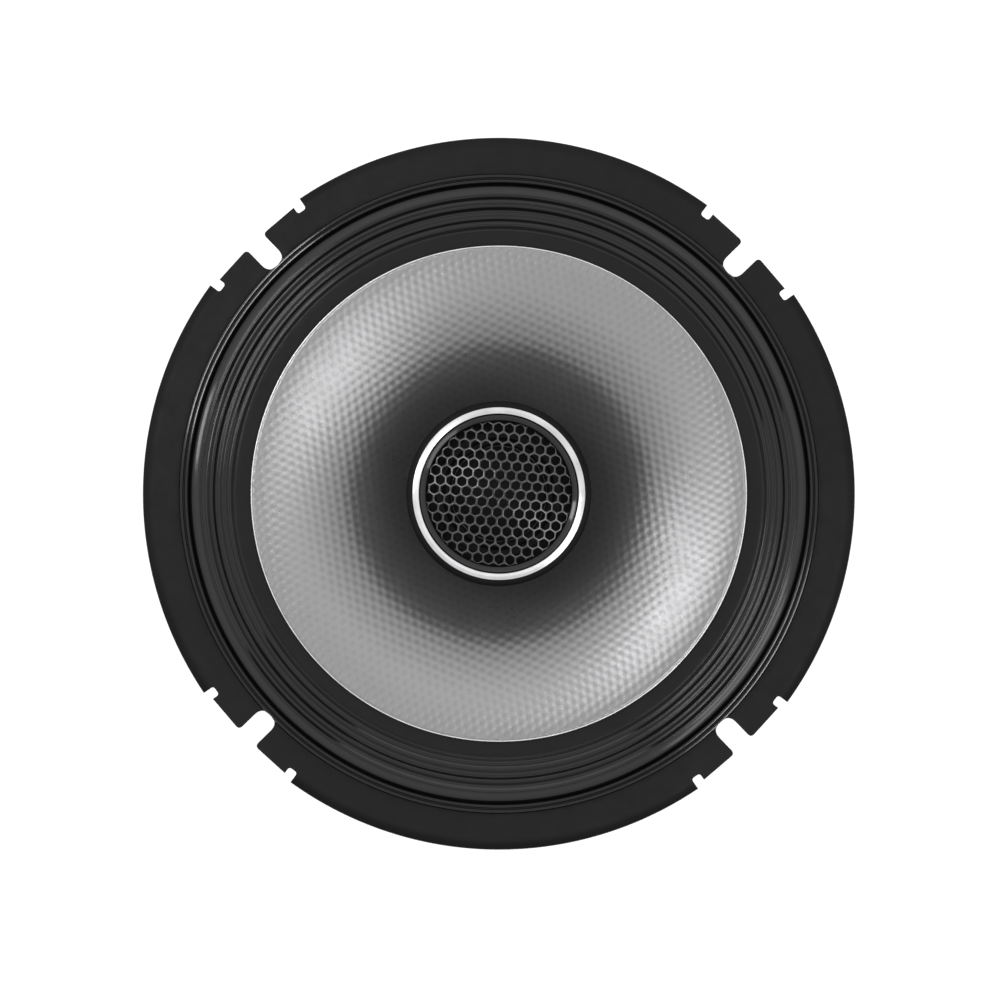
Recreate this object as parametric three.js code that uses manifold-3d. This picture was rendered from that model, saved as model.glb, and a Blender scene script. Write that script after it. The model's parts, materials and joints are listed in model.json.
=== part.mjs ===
// A 165 mm coaxial car speaker: a pressed steel basket with a notched flange, a woven cone on a ribbed
// rubber surround, a ring magnet motor, and a small dome tweeter held in front of the cone by a hollow post.
// Millimetres, +Z along the speaker's axis towards the listener.
// The origin is on the axis, at the motor's back face.
import * as THREE from "three";
import { mergeVertices } from "three/addons/utils/BufferGeometryUtils.js";
import Module from "manifold-3d";

// ---------------------------------------------------------------- driving dimensions

const WIDE = 40; // facets round the basket, cone and magnet
const MEDIUM = 28; // facets round the motor and the tweeter
const SMALL = 20; // facets round the post and the tweeter's motor
const TINY = 10; // facets round a rivet

const SHEET = 1.2; // basket steel
const FLANGE_RADIUS = 82.5;
const FLANGE_TOP = 52.7;
const LIP_DROP = 1.1; // how far the flange's rim bends back
const LIP_SLOPE = 55; // degrees
const RIM_FOOT_RADIUS = 73.8;
const RIM_HEIGHT = 2.3;
const SEAT_RADIUS = 71.7;
const SEAT_TOP = 52.9;
const WALL_RADIUS = 67.9;
const LEDGE_TOP = 32.2;
const LEDGE_INNER = 34.4;
const LEDGE_OUTER = 43.5;

const SLOT_ANGLES = [45, 135, 225, 315];
const SLOT_WIDTH = 5.25;
const SLOT_BOTTOM = 73.6;
const NOTCH_OFFSET = 9.25; // degrees from a slot's middle
const NOTCH_WIDTH = 2.35;
const NOTCH_BOTTOM = 79.7;
const TAB_EDGE_AT_SLOT = 81.25; // the flat tabs beside each slot stop short of the lip
const TAB_EDGE_AT_NOTCH = 81.6;
const CUT_REACH = 6; // how far a cutter runs past the flange

const WINDOW_ANGLES = [0, 90, 180, 270];
const WINDOW_HALF_ANGLE = 34;
const WINDOW_INNER = 44.0;
const WINDOW_OUTER = 62.0;

const CONE_EDGE_RADIUS = 57.4;
const CONE_EDGE_HEIGHT = 54.0;
const CONE_NECK_RADIUS = 13.8;
const CONE_DEPTH = 19.0;
const CONE_CURVE = 1.7;
const CONE_THICKNESS = 0.6;

const YOKE_RADIUS = 38.5;
const YOKE_THICKNESS = 6.0;
const POLE_RADIUS = 12.2;
const POLE_TOP = 25.5;
const POLE_BORE = 4.3;
const RECESS_RADIUS = 8.6;
const RECESS_DEPTH = 6.0;
const GROOVE_WIDTH = 4.4;
const GROOVE_DEPTH = 2.4;
const MAGNET_RADIUS = 42.5;
const MAGNET_BORE = 20.0;
const MAGNET_TOP = 20.0;
const PLATE_TOP = 25.0;
const PLATE_RADIUS = 38.0;
const GAP_RADIUS = 14.2;
const MOTOR_CHAMFER = 0.8;

const FORMER_INNER = 12.7;
const FORMER_OUTER = 13.1;
const FORMER_BOTTOM = 14.0;
const FORMER_TOP = 36.5;
const WINDING_OUTER = 13.7;
const WINDING_BOTTOM = 16.5;
const WINDING_TOP = 28.5;

const POST_BORE = 1.9;
const POST_STUD = 4.0;
const POST_STUD_END = 2.75;
const POST_RADIUS = 5.5;
const POST_FOOT = 9.0;
const POST_TOP = 45.9;
const NUT_BOTTOM = 3.25;
const NUT_CORNER_RADIUS = 7.5;

const CUP_RADIUS = 21.4;
const CUP_BOTTOM = 41.0;
const CUP_FLOOR_TOP = 47.4;
const CUP_WALL_INNER = 17.2;
const CUP_TOP = 61.8;
const FRAME_BOTTOM = 55.0;
const FRAME_TOP = 56.2;
const FRAME_INNER = 11.9;
const FRAME_OUTER = 18.15;
const BEZEL_BOTTOM = 58.5;
const BEZEL_TOP = 62.3;
const BEZEL_INNER = 18.4;
const BEZEL_OUTER = 19.9;
const RING_INNER = 16.9; // black ring between the bezel and the grille
const RING_OUTER = 18.15;
const RING_TOP = 61.5;
const RING_BEVEL = 1.2;
const GRILLE_RADIUS = 16.75;
const GRILLE_EDGE = 59.9;
const GRILLE_RISE = 2.9;
const GRILLE_THICKNESS = 0.5;
const DOME_RADIUS = 10.9;
const DOME_BASE = 56.4;
const DOME_RISE = 3.6;
const DOME_THICKNESS = 0.35;
const POT_RADIUS = 12.6;
const POT_INNER = 11.3;
const POT_BOTTOM = 49.25;
const TWEETER_MAGNET_BOTTOM = 51.25;
const TWEETER_MAGNET_RADIUS = 9.4;
const POLE_CAP_BOTTOM = 53.25;
const POLE_CAP_RADIUS = 10.0;
const TWEETER_COIL = { inner: 10.35, outer: 10.75, bottom: 52.0 };
const SLIT = 0.05; // clearance where two pieces fit closely

const RIVET_CIRCLE = 24.0;
const RIVET_SHANK = 1.8;
const RIVET_HEAD = 3.2;
const HOLE_CLEARANCE = 0.3;

const TERMINAL_ANGLE = 315; // the spoke that carries the terminal board
const BOARD = { inner: 36.5, outer: 60.0, halfWidth: 15.0, corner: 3.0, bottom: 29.1, top: 30.7 };
const TERMINAL_REACH = 54.0;
const TERMINAL_OFFSET = 8.0;
const TERMINAL_THICKNESS = 0.8;
const TERMINAL_TIP = 18.5;
const TERMINAL_LUG_TOP = 34.2;
const TERMINAL_NECK = 1.5; // half the width of the lug that passes through the board
const TERMINAL_SHOULDER = 0.8;
const POSITIVE_WIDTH = 6.3;
const NEGATIVE_WIDTH = 4.8;
const TAB_HOLE = { radius: 0.8, rise: 4.2 };
const BOARD_RIVET = { reach: 39.7, offset: 9.0, shank: 1.0, head: 1.9, headHeight: 0.8 };
const CAPACITOR = { reach: 44.5, height: 23.9, radius: 4.0, halfLength: 10.5 };
const LEAD_RADIUS = 0.6;
const CAPACITOR_LEAD_RADIUS = 0.4;
// How far out the leads meet the blades.
const LEAD_FACE = TERMINAL_REACH - TERMINAL_THICKNESS / 2 - LEAD_RADIUS - HOLE_CLEARANCE;
const LEAD_SPACING = 0.8; // half the distance between the two tweeter leads
const LEAD_DROP_REACH = 43.7; // where the leads run down beside the magnet
const LEAD_GROOVE_HEIGHT = 1.2;

const FINISHES = {
  blackSteel: { color: 0x1c1c1d, roughness: 0.55, metalness: 0.6 },
  zincSteel: { color: 0xa9abad, roughness: 0.4, metalness: 0.9 },
  ferrite: { color: 0x2c2c2e, roughness: 0.8, metalness: 0.1 },
  rubber: { color: 0x151516, roughness: 0.6, metalness: 0.0 },
  wovenCone: { color: 0x9c9c9e, roughness: 0.35, metalness: 0.4 },
  spiderCloth: { color: 0x2a2622, roughness: 0.95, metalness: 0.0 },
  aluminium: { color: 0xb9babc, roughness: 0.35, metalness: 0.9 },
  copper: { color: 0xa65b35, roughness: 0.35, metalness: 0.9 },
  blackPlastic: { color: 0x131314, roughness: 0.45, metalness: 0.0 },
  chrome: { color: 0xe6e7e8, roughness: 0.08, metalness: 1.0 },
  grilleSteel: { color: 0x3a3a3c, roughness: 0.35, metalness: 0.9 },
  silkDome: { color: 0x202022, roughness: 0.7, metalness: 0.0 },
  brass: { color: 0xb9a15c, roughness: 0.3, metalness: 0.9 },
  phenolic: { color: 0x241d18, roughness: 0.7, metalness: 0.0 },
  sleeveBlue: { color: 0x1e2a44, roughness: 0.4, metalness: 0.0 },
  foam: { color: 0x303032, roughness: 0.95, metalness: 0.0 },
  tinsel: { color: 0xa98a5a, roughness: 0.5, metalness: 0.7 },
  leadBlack: { color: 0x151515, roughness: 0.5, metalness: 0.0 },
  leadRed: { color: 0x7a1a18, roughness: 0.5, metalness: 0.0 },
};

// ---------------------------------------------------------------- geometry helpers

const wasm = await Module();
wasm.setup();

function radians(degrees) {
  return (degrees * Math.PI) / 180;
}

// A ring or disc turned about Z from [radius, height] points listed anticlockwise.
function turned(profile, facets) {
  const onAxis = profile[0][0] === 0;
  const closed = onAxis ? profile : [...profile, profile[0]];
  const points = closed.map(([radius, height]) => new THREE.Vector2(radius, height));
  const geometry = new THREE.LatheGeometry(points, facets);
  return geometry.rotateX(Math.PI / 2);
}

// The closed outline of a sheet of even thickness along a centre line of [radius, height] points.
function sheetOutline(centreLine, thickness) {
  const half = thickness / 2;
  const normals = centreLine.slice(1).map(([radius, height], i) => {
    const [lastRadius, lastHeight] = centreLine[i];
    const length = Math.hypot(radius - lastRadius, height - lastHeight);
    return [(height - lastHeight) / length, (lastRadius - radius) / length];
  });
  const lower = [];
  const upper = [];
  centreLine.forEach(([radius, height], i) => {
    const before = normals[Math.max(i - 1, 0)];
    const after = normals[Math.min(i, normals.length - 1)];
    const scale = half / (1 + before[0] * after[0] + before[1] * after[1]);
    const shift = [(before[0] + after[0]) * scale, (before[1] + after[1]) * scale];
    lower.push([radius + shift[0], height + shift[1]]);
    upper.unshift([radius - shift[0], height - shift[1]]);
  });
  return [...lower, ...upper];
}

// A tube of round section along a smooth curve through the given points.
function wire(points, radius, sides, steps) {
  const stations = points.map((point) => new THREE.Vector3(...point));
  const path = new THREE.CatmullRomCurve3(stations, false, "centripetal");
  const section = new THREE.Shape();
  section.absarc(0, 0, radius, 0, 2 * Math.PI, false);
  return new THREE.ExtrudeGeometry(section, { extrudePath: path, steps, curveSegments: sides / 2 });
}

// A flat outline of [x, y] points, raised from one height to another.
function raised(outline, bottom, top) {
  const shape = new THREE.Shape(outline.map(([x, y]) => new THREE.Vector2(x, y)));
  const geometry = new THREE.ExtrudeGeometry(shape, { depth: top - bottom, bevelEnabled: false });
  return geometry.translate(0, 0, bottom);
}

function block(lowX, highX, lowY, highY, lowZ, highZ) {
  const geometry = new THREE.BoxGeometry(highX - lowX, highY - lowY, highZ - lowZ);
  return geometry.translate((lowX + highX) / 2, (lowY + highY) / 2, (lowZ + highZ) / 2);
}

// An upright round bar with its middle at x, y.
function bar(radius, bottom, top, x, y, facets) {
  const profile = [[0, bottom], [radius, bottom], [radius, top], [0, top]];
  return turned(profile, facets).translate(x, y, 0);
}

function solidOf(geometry) {
  const loose = geometry.index ? geometry.toNonIndexed() : geometry;
  const bare = new THREE.BufferGeometry().setAttribute("position", loose.getAttribute("position"));
  const merged = mergeVertices(bare, 1e-4);
  const vertProperties = merged.getAttribute("position").array;
  const triVerts = new Uint32Array(merged.index.array);
  return new wasm.Manifold(new wasm.Mesh({ numProp: 3, vertProperties, triVerts }));
}

function geometryOf(solid) {
  const { vertProperties, triVerts } = solid.getMesh();
  const geometry = new THREE.BufferGeometry();
  geometry.setAttribute("position", new THREE.BufferAttribute(vertProperties, 3));
  geometry.setIndex(new THREE.BufferAttribute(triVerts, 1));
  geometry.computeVertexNormals();
  return geometry;
}

function cutFrom(geometry, cutters) {
  let solid = solidOf(geometry);
  for (const cutter of cutters) {
    solid = solid.subtract(solidOf(cutter));
  }
  return geometryOf(solid);
}

function piece(name, geometry, finish, parent) {
  const mesh = new THREE.Mesh(geometry, new THREE.MeshStandardMaterial(FINISHES[finish]));
  mesh.name = name;
  parent.add(mesh);
  return mesh;
}

function atAngle(geometry, degrees) {
  return geometry.rotateZ(radians(degrees));
}

function coneHeight(radius) {
  const share = (CONE_EDGE_RADIUS - radius) / (CONE_EDGE_RADIUS - CONE_NECK_RADIUS);
  return CONE_EDGE_HEIGHT - CONE_DEPTH * share ** CONE_CURVE;
}

// ---------------------------------------------------------------- basket

function basketShell() {
  const half = SHEET / 2;
  const flange = FLANGE_TOP - half;
  const lipEnd = FLANGE_RADIUS - half * Math.sin(radians(LIP_SLOPE));
  const centreLine = [
    [GAP_RADIUS + 1, PLATE_TOP + half],
    [LEDGE_INNER - 1.8, PLATE_TOP + half],
    [LEDGE_INNER, LEDGE_TOP - half],
    [LEDGE_OUTER, LEDGE_TOP - half],
    [WALL_RADIUS - 4.9, FLANGE_TOP - 8.5],
    [WALL_RADIUS - 1.6, FLANGE_TOP - 5.9],
    [WALL_RADIUS, SEAT_TOP - half],
    [SEAT_RADIUS, SEAT_TOP - half],
    [SEAT_RADIUS + 0.7, flange + RIM_HEIGHT],
    [RIM_FOOT_RADIUS - 0.7, flange + RIM_HEIGHT],
    [RIM_FOOT_RADIUS, flange],
    [lipEnd - LIP_DROP / Math.tan(radians(LIP_SLOPE)), flange],
    [lipEnd, flange - LIP_DROP],
  ];
  return turned(sheetOutline(centreLine, SHEET), WIDE);
}

function slotCutter() {
  const half = SLOT_WIDTH / 2;
  const shape = new THREE.Shape();
  shape.absarc(SLOT_BOTTOM + half, 0, half, Math.PI / 2, -Math.PI / 2, false);
  shape.lineTo(FLANGE_RADIUS + CUT_REACH, -half);
  shape.lineTo(FLANGE_RADIUS + CUT_REACH, half);
  const settings = { depth: 2 * CUT_REACH, bevelEnabled: false, curveSegments: 8 };
  return new THREE.ExtrudeGeometry(shape, settings).translate(0, 0, FLANGE_TOP - CUT_REACH);
}

// What is left of the flange beside a slot: two flat tabs whose edges lean in towards the slot.
function tabCutter() {
  const turn = radians(NOTCH_OFFSET);
  const far = FLANGE_RADIUS + CUT_REACH;
  const outline = [
    [TAB_EDGE_AT_NOTCH * Math.cos(turn), -TAB_EDGE_AT_NOTCH * Math.sin(turn)],
    [far * Math.cos(turn), -far * Math.sin(turn)],
    [far * Math.cos(turn), far * Math.sin(turn)],
    [TAB_EDGE_AT_NOTCH * Math.cos(turn), TAB_EDGE_AT_NOTCH * Math.sin(turn)],
    [TAB_EDGE_AT_SLOT, SLOT_WIDTH / 2],
    [TAB_EDGE_AT_SLOT, -SLOT_WIDTH / 2],
  ];
  return raised(outline, FLANGE_TOP - CUT_REACH, FLANGE_TOP + CUT_REACH);
}

function flangeCutters(angle) {
  const low = FLANGE_TOP - CUT_REACH;
  const high = FLANGE_TOP + CUT_REACH;
  const far = FLANGE_RADIUS + CUT_REACH;
  const half = NOTCH_WIDTH / 2;
  const notches = [-NOTCH_OFFSET, NOTCH_OFFSET].map((offset) =>
    atAngle(block(NOTCH_BOTTOM, far, -half, half, low, high), angle + offset),
  );
  return [atAngle(slotCutter(), angle), atAngle(tabCutter(), angle), ...notches];
}

function windowCutter(angle) {
  const from = radians(angle - WINDOW_HALF_ANGLE);
  const to = radians(angle + WINDOW_HALF_ANGLE);
  const shape = new THREE.Shape();
  shape.absarc(0, 0, WINDOW_OUTER, from, to, false);
  shape.absarc(0, 0, WINDOW_INNER, to, from, true);
  const settings = { depth: FLANGE_TOP - LEDGE_TOP, bevelEnabled: false, curveSegments: 6 };
  return new THREE.ExtrudeGeometry(shape, settings).translate(0, 0, LEDGE_TOP - 4);
}

function basket() {
  const cutters = [
    ...SLOT_ANGLES.flatMap(flangeCutters),
    ...WINDOW_ANGLES.map(windowCutter),
    ...SLOT_ANGLES.map((angle) => atAngle(plateRivetHole(), angle)),
    ...[-1, 1].map((side) => atAngle(boardRivetHole(side), TERMINAL_ANGLE)),
  ];
  return cutFrom(basketShell(), cutters);
}

function plateRivetHole() {
  return bar(RIVET_SHANK + HOLE_CLEARANCE, MAGNET_TOP - 1, PLATE_TOP + 3, RIVET_CIRCLE, 0, TINY);
}

function plateRivet() {
  const seat = PLATE_TOP + SHEET;
  const profile = [
    [0, MAGNET_TOP + 0.5],
    [RIVET_SHANK, MAGNET_TOP + 0.5],
    [RIVET_SHANK, seat],
    [RIVET_HEAD, seat],
    [RIVET_HEAD - 0.6, seat + 0.9],
    [0, seat + 1.1],
  ];
  return turned(profile, TINY).translate(RIVET_CIRCLE, 0, 0);
}

// ---------------------------------------------------------------- soft parts and cone

function surround() {
  const thickness = 0.8;
  const band = CONE_EDGE_HEIGHT - CONE_THICKNESS / 2 - thickness / 2 - 0.4;
  const centreLine = [
    [CONE_EDGE_RADIUS - 1.6, band],
    [61.0, band + 0.1],
    [62.3, band + 1.0],
    [63.0, band + 0.5],
    [64.2, band + 1.6],
    [65.3, band + 0.5],
    [67.2, band + 2.3],
    [68.4, band + 0.85],
    [69.3, band + 2.0],
    [70.1, band + 2.0],
    [SEAT_RADIUS - 0.8, band + 0.8],
  ];
  return turned(sheetOutline(centreLine, thickness), WIDE);
}

function cone() {
  const radii = [CONE_NECK_RADIUS, 18, 26, 37, 49, CONE_EDGE_RADIUS];
  const centreLine = radii.map((radius) => [radius, coneHeight(radius)]);
  return turned(sheetOutline(centreLine, CONE_THICKNESS), WIDE);
}

function spider() {
  const thickness = 0.5;
  const land = LEDGE_TOP + thickness / 2;
  const centreLine = [
    [FORMER_OUTER + 0.4, land],
    [16, land],
    [19.5, land + 1.8],
    [23, land - 0.6],
    [26.5, land + 1.8],
    [30, land - 0.6],
    [33.2, land + 1.6],
    [35, land],
    [38, land],
  ];
  return turned(sheetOutline(centreLine, thickness), MEDIUM);
}

function tube(inner, outer, bottom, top, facets) {
  return turned([[inner, bottom], [outer, bottom], [outer, top], [inner, top]], facets);
}

// ---------------------------------------------------------------- main motor

function yoke() {
  const profile = [
    [RECESS_RADIUS, 0],
    [YOKE_RADIUS - MOTOR_CHAMFER, 0],
    [YOKE_RADIUS, MOTOR_CHAMFER],
    [YOKE_RADIUS, YOKE_THICKNESS],
    [POLE_RADIUS, YOKE_THICKNESS],
    [POLE_RADIUS, POLE_TOP],
    [POLE_BORE, POLE_TOP],
    [POLE_BORE, RECESS_DEPTH],
    [RECESS_RADIUS, RECESS_DEPTH],
  ];
  const half = GROOVE_WIDTH / 2;
  const groove = block(RECESS_RADIUS - 1, YOKE_RADIUS + 1, -half, half, -1, GROOVE_DEPTH);
  return cutFrom(turned(profile, MEDIUM), [atAngle(groove, TERMINAL_ANGLE)]);
}

function magnet() {
  const profile = [
    [MAGNET_BORE, YOKE_THICKNESS],
    [MAGNET_RADIUS - MOTOR_CHAMFER, YOKE_THICKNESS],
    [MAGNET_RADIUS, YOKE_THICKNESS + MOTOR_CHAMFER],
    [MAGNET_RADIUS, MAGNET_TOP - MOTOR_CHAMFER],
    [MAGNET_RADIUS - MOTOR_CHAMFER, MAGNET_TOP],
    [MAGNET_BORE, MAGNET_TOP],
  ];
  return turned(profile, WIDE);
}

function topPlate() {
  const plate = tube(GAP_RADIUS, PLATE_RADIUS, MAGNET_TOP, PLATE_TOP, MEDIUM);
  return cutFrom(plate, SLOT_ANGLES.map((angle) => atAngle(plateRivetHole(), angle)));
}

// ---------------------------------------------------------------- tweeter and its post

function post() {
  const profile = [
    [POST_BORE, POST_STUD_END],
    [POST_STUD, POST_STUD_END],
    [POST_STUD, POLE_TOP],
    [POST_FOOT, POLE_TOP],
    [POST_FOOT, POLE_TOP + 1.6],
    [POST_RADIUS, POLE_TOP + 2.6],
    [POST_RADIUS, POST_TOP],
    [POST_BORE, POST_TOP],
  ];
  return turned(profile, SMALL);
}

function postNut() {
  const corners = [...Array(6).keys()].map((i) => radians(60 * i));
  const outline = corners.map((a) => [NUT_CORNER_RADIUS * Math.cos(a), NUT_CORNER_RADIUS * Math.sin(a)]);
  const bore = bar(POST_STUD + HOLE_CLEARANCE, 0, RECESS_DEPTH + 1, 0, 0, SMALL);
  return cutFrom(raised(outline, NUT_BOTTOM, RECESS_DEPTH), [bore]);
}

function tweeterCup() {
  const stemInner = POST_RADIUS + HOLE_CLEARANCE;
  const wireInner = POST_BORE + HOLE_CLEARANCE;
  const ledgeInner = BEZEL_INNER - SLIT;
  const bezelWall = BEZEL_OUTER + SLIT;
  const profile = [
    [stemInner, CUP_BOTTOM],
    [8.0, CUP_BOTTOM],
    [8.0, 45.0],
    [15.5, 46.0],
    [19.0, 48.5],
    [20.4, 53.0],
    [CUP_RADIUS, 58.6],
    [CUP_RADIUS, CUP_TOP - 1.2],
    [CUP_RADIUS - 0.6, CUP_TOP - 0.3],
    [bezelWall, CUP_TOP],
    [bezelWall, BEZEL_BOTTOM],
    [ledgeInner, BEZEL_BOTTOM],
    [ledgeInner, FRAME_BOTTOM],
    [CUP_WALL_INNER, FRAME_BOTTOM],
    [CUP_WALL_INNER, CUP_FLOOR_TOP + 1.5],
    [CUP_WALL_INNER - 1.5, CUP_FLOOR_TOP],
    [wireInner, CUP_FLOOR_TOP],
    [wireInner, POST_TOP + HOLE_CLEARANCE],
    [stemInner, POST_TOP + HOLE_CLEARANCE],
  ];
  return turned(profile, MEDIUM);
}

function tweeterBezel() {
  const profile = [
    [BEZEL_INNER, BEZEL_BOTTOM],
    [BEZEL_OUTER, BEZEL_BOTTOM],
    [BEZEL_OUTER, BEZEL_TOP - 0.6],
    [BEZEL_OUTER - 0.45, BEZEL_TOP],
    [BEZEL_INNER + 0.35, BEZEL_TOP],
    [BEZEL_INNER, BEZEL_TOP - 0.5],
  ];
  return turned(profile, MEDIUM);
}

function tweeterInnerRing() {
  const profile = [
    [RING_INNER, FRAME_TOP],
    [RING_OUTER, FRAME_TOP],
    [RING_OUTER, RING_TOP],
    [RING_OUTER - 0.2, RING_TOP],
    [RING_INNER, RING_TOP - RING_BEVEL],
  ];
  return turned(profile, MEDIUM);
}

// A thin domed cap: a shell of even height between two spherical faces, ending in a ring at its edge.
function domedShell(radius, base, rise, thickness, rings, facets) {
  const lower = [...Array(rings).keys()].map((i) => {
    const share = i / rings;
    return [radius * share, base + rise * (1 - share ** 2)];
  });
  const upper = lower.map(([r, z]) => [r, z + thickness]).reverse();
  return turned([...lower, [radius, base], [radius, base + thickness], ...upper], facets);
}

function tweeterDomeSurround() {
  const centreLine = [
    [DOME_RADIUS + 0.35, DOME_BASE + 0.3],
    [11.7, DOME_BASE + 1.2],
    [12.5, DOME_BASE + 0.9],
    [13.0, FRAME_TOP + 0.3],
    [14.5, FRAME_TOP + 0.3],
  ];
  return turned(sheetOutline(centreLine, 0.3), SMALL);
}

function tweeterPot() {
  const profile = [
    [0, POT_BOTTOM],
    [POT_RADIUS, POT_BOTTOM],
    [POT_RADIUS, FRAME_BOTTOM],
    [POT_INNER, FRAME_BOTTOM],
    [POT_INNER, TWEETER_MAGNET_BOTTOM],
    [0, TWEETER_MAGNET_BOTTOM],
  ];
  return turned(profile, SMALL);
}

// ---------------------------------------------------------------- terminals and wiring

// Everything here is drawn with the terminal spoke along +X and turned to its place by the group.

function boardRivetHole(side) {
  const { reach, offset, shank } = BOARD_RIVET;
  return bar(shank + HOLE_CLEARANCE, BOARD.bottom - 2, LEDGE_TOP + 2, reach, side * offset, TINY);
}

function terminalBoard() {
  const { inner, outer, halfWidth, corner, bottom, top } = BOARD;
  const slotHalfWidth = TERMINAL_NECK + HOLE_CLEARANCE;
  const outline = [
    [inner, -halfWidth + corner],
    [inner + corner, -halfWidth],
    [outer - corner, -halfWidth],
    [outer, -halfWidth + corner],
    [outer, halfWidth - corner],
    [outer - corner, halfWidth],
    [inner + corner, halfWidth],
    [inner, halfWidth - corner],
  ];
  const slots = [-1, 1].map((side) => {
    const y = side * TERMINAL_OFFSET;
    const halfX = TERMINAL_THICKNESS / 2 + HOLE_CLEARANCE;
    const [lowY, highY] = [y - slotHalfWidth, y + slotHalfWidth];
    return block(TERMINAL_REACH - halfX, TERMINAL_REACH + halfX, lowY, highY, bottom - 1, top + 1);
  });
  const holes = [-1, 1].map(boardRivetHole);
  return cutFrom(raised(outline, bottom, top), [...slots, ...holes]);
}

function boardRivet(side) {
  const { reach, offset, shank, head, headHeight } = BOARD_RIVET;
  const profile = [
    [0, BOARD.bottom - headHeight],
    [head - 0.5, BOARD.bottom - headHeight],
    [head, BOARD.bottom - HOLE_CLEARANCE],
    [shank, BOARD.bottom - HOLE_CLEARANCE],
    [shank, LEDGE_TOP + HOLE_CLEARANCE],
    [head, LEDGE_TOP + HOLE_CLEARANCE],
    [head - 0.5, LEDGE_TOP + headHeight],
    [0, LEDGE_TOP + headHeight],
  ];
  return turned(profile, TINY).translate(reach, side * offset, 0);
}

// A stamped blade through the board: a push-on tab below it and a solder lug above it.
function terminalBlade(tabWidth, side) {
  const half = tabWidth / 2;
  const wide = half + TERMINAL_SHOULDER;
  const shoulder = BOARD.bottom - HOLE_CLEARANCE;
  const shoulderFoot = shoulder - 1.4;
  const outline = [
    [-half + 0.9, TERMINAL_TIP],
    [half - 0.9, TERMINAL_TIP],
    [half, TERMINAL_TIP + 1.2],
    [half, shoulderFoot],
    [wide, shoulderFoot],
    [wide, shoulder],
    [TERMINAL_NECK, shoulder],
    [TERMINAL_NECK, TERMINAL_LUG_TOP],
    [-TERMINAL_NECK, TERMINAL_LUG_TOP],
    [-TERMINAL_NECK, shoulder],
    [-wide, shoulder],
    [-wide, shoulderFoot],
    [-half, shoulderFoot],
    [-half, TERMINAL_TIP + 1.2],
  ];
  const blade = raised(outline, -TERMINAL_THICKNESS / 2, TERMINAL_THICKNESS / 2);
  const tabHole = bar(TAB_HOLE.radius, -1, 1, 0, TERMINAL_TIP + TAB_HOLE.rise, TINY);
  // The outline's x becomes width along Y and its y becomes height along Z.
  const upright = cutFrom(blade, [tabHole]).rotateX(Math.PI / 2).rotateZ(Math.PI / 2);
  return upright.translate(TERMINAL_REACH, side * TERMINAL_OFFSET, 0);
}

function capacitor() {
  const { reach, height, radius, halfLength } = CAPACITOR;
  const profile = [
    [0, -halfLength],
    [radius - 0.6, -halfLength],
    [radius, -halfLength + 0.6],
    [radius, halfLength - 2.4],
    [radius - 0.45, halfLength - 1.9],
    [radius, halfLength - 1.4],
    [radius, halfLength - 0.5],
    [radius - 0.5, halfLength],
    [0, halfLength],
  ];
  return turned(profile, SMALL).rotateX(-Math.PI / 2).translate(reach, 0, height);
}

// A foam pad that fills the space between the capacitor and the board above it.
function capacitorPad() {
  const { reach, height, radius } = CAPACITOR;
  const cutter = bar(radius + HOLE_CLEARANCE, -20, 20, 0, 0, SMALL);
  const pad = block(reach - 2.2, reach + 2.8, -7, 7, height + 2, BOARD.bottom - HOLE_CLEARANCE);
  return cutFrom(pad, [cutter.rotateX(Math.PI / 2).translate(reach, 0, height)]);
}

function capacitorLead() {
  const { reach, height, halfLength } = CAPACITOR;
  const points = [
    [reach, -halfLength - 0.3, height],
    [reach, -halfLength - 2.2, height + 0.2],
    [reach + 2.5, -halfLength - 3.0, height + 0.8],
    [LEAD_FACE - 1.5, -TERMINAL_OFFSET - 2.6, height + 1.4],
    [LEAD_FACE, -TERMINAL_OFFSET, height + 1.2],
  ];
  return wire(points, CAPACITOR_LEAD_RADIUS, 6, 14);
}

// The stretch that both tweeter leads share: down past the magnet, along the groove in the back plate,
// up through the hollow post, and out to one side of the tweeter's frame.
function tweeterLeadRun(side) {
  const y = side * LEAD_SPACING;
  return [
    [LEAD_DROP_REACH, y, 15.5],
    [LEAD_DROP_REACH, y, 5.0],
    [LEAD_DROP_REACH - 1.0, y, 2.0],
    [LEAD_DROP_REACH - 3.4, y, LEAD_GROOVE_HEIGHT],
    [20, y, LEAD_GROOVE_HEIGHT],
    [3.2, y, LEAD_GROOVE_HEIGHT],
    [0.8, y, 2.0],
    [0, y, 4.6],
    [0, y, 25],
    [0, y, 45],
    [0, side * 1.0, CUP_FLOOR_TOP],
    [0, side * 2.6, 48.3],
    [0, side * 12.5, 48.3],
    [0, side * 14.6, 49.2],
    [0, side * 15.2, 51.5],
    [0, side * 15.2, FRAME_BOTTOM - 0.3],
  ];
}

function tweeterLeadPositive() {
  const { reach, height, halfLength } = CAPACITOR;
  const start = [
    [reach, halfLength + 0.4, height],
    [reach, halfLength + 2.2, height - 0.4],
    [reach + 0.8, halfLength + 1.6, height - 4.2],
    [LEAD_DROP_REACH + 1.6, 6.0, 18.0],
  ];
  return wire([...start, ...tweeterLeadRun(1)], LEAD_RADIUS, 6, 52);
}

function tweeterLeadNegative() {
  const start = [
    [LEAD_FACE, TERMINAL_OFFSET, 25.6],
    [LEAD_FACE - 1.2, TERMINAL_OFFSET - 0.6, 22.6],
    [LEAD_DROP_REACH + 4.6, 3.6, 18.6],
    [LEAD_DROP_REACH + 1.4, 0.2, 17.2],
  ];
  return wire([...start, ...tweeterLeadRun(-1)], LEAD_RADIUS, 6, 52);
}

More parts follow.
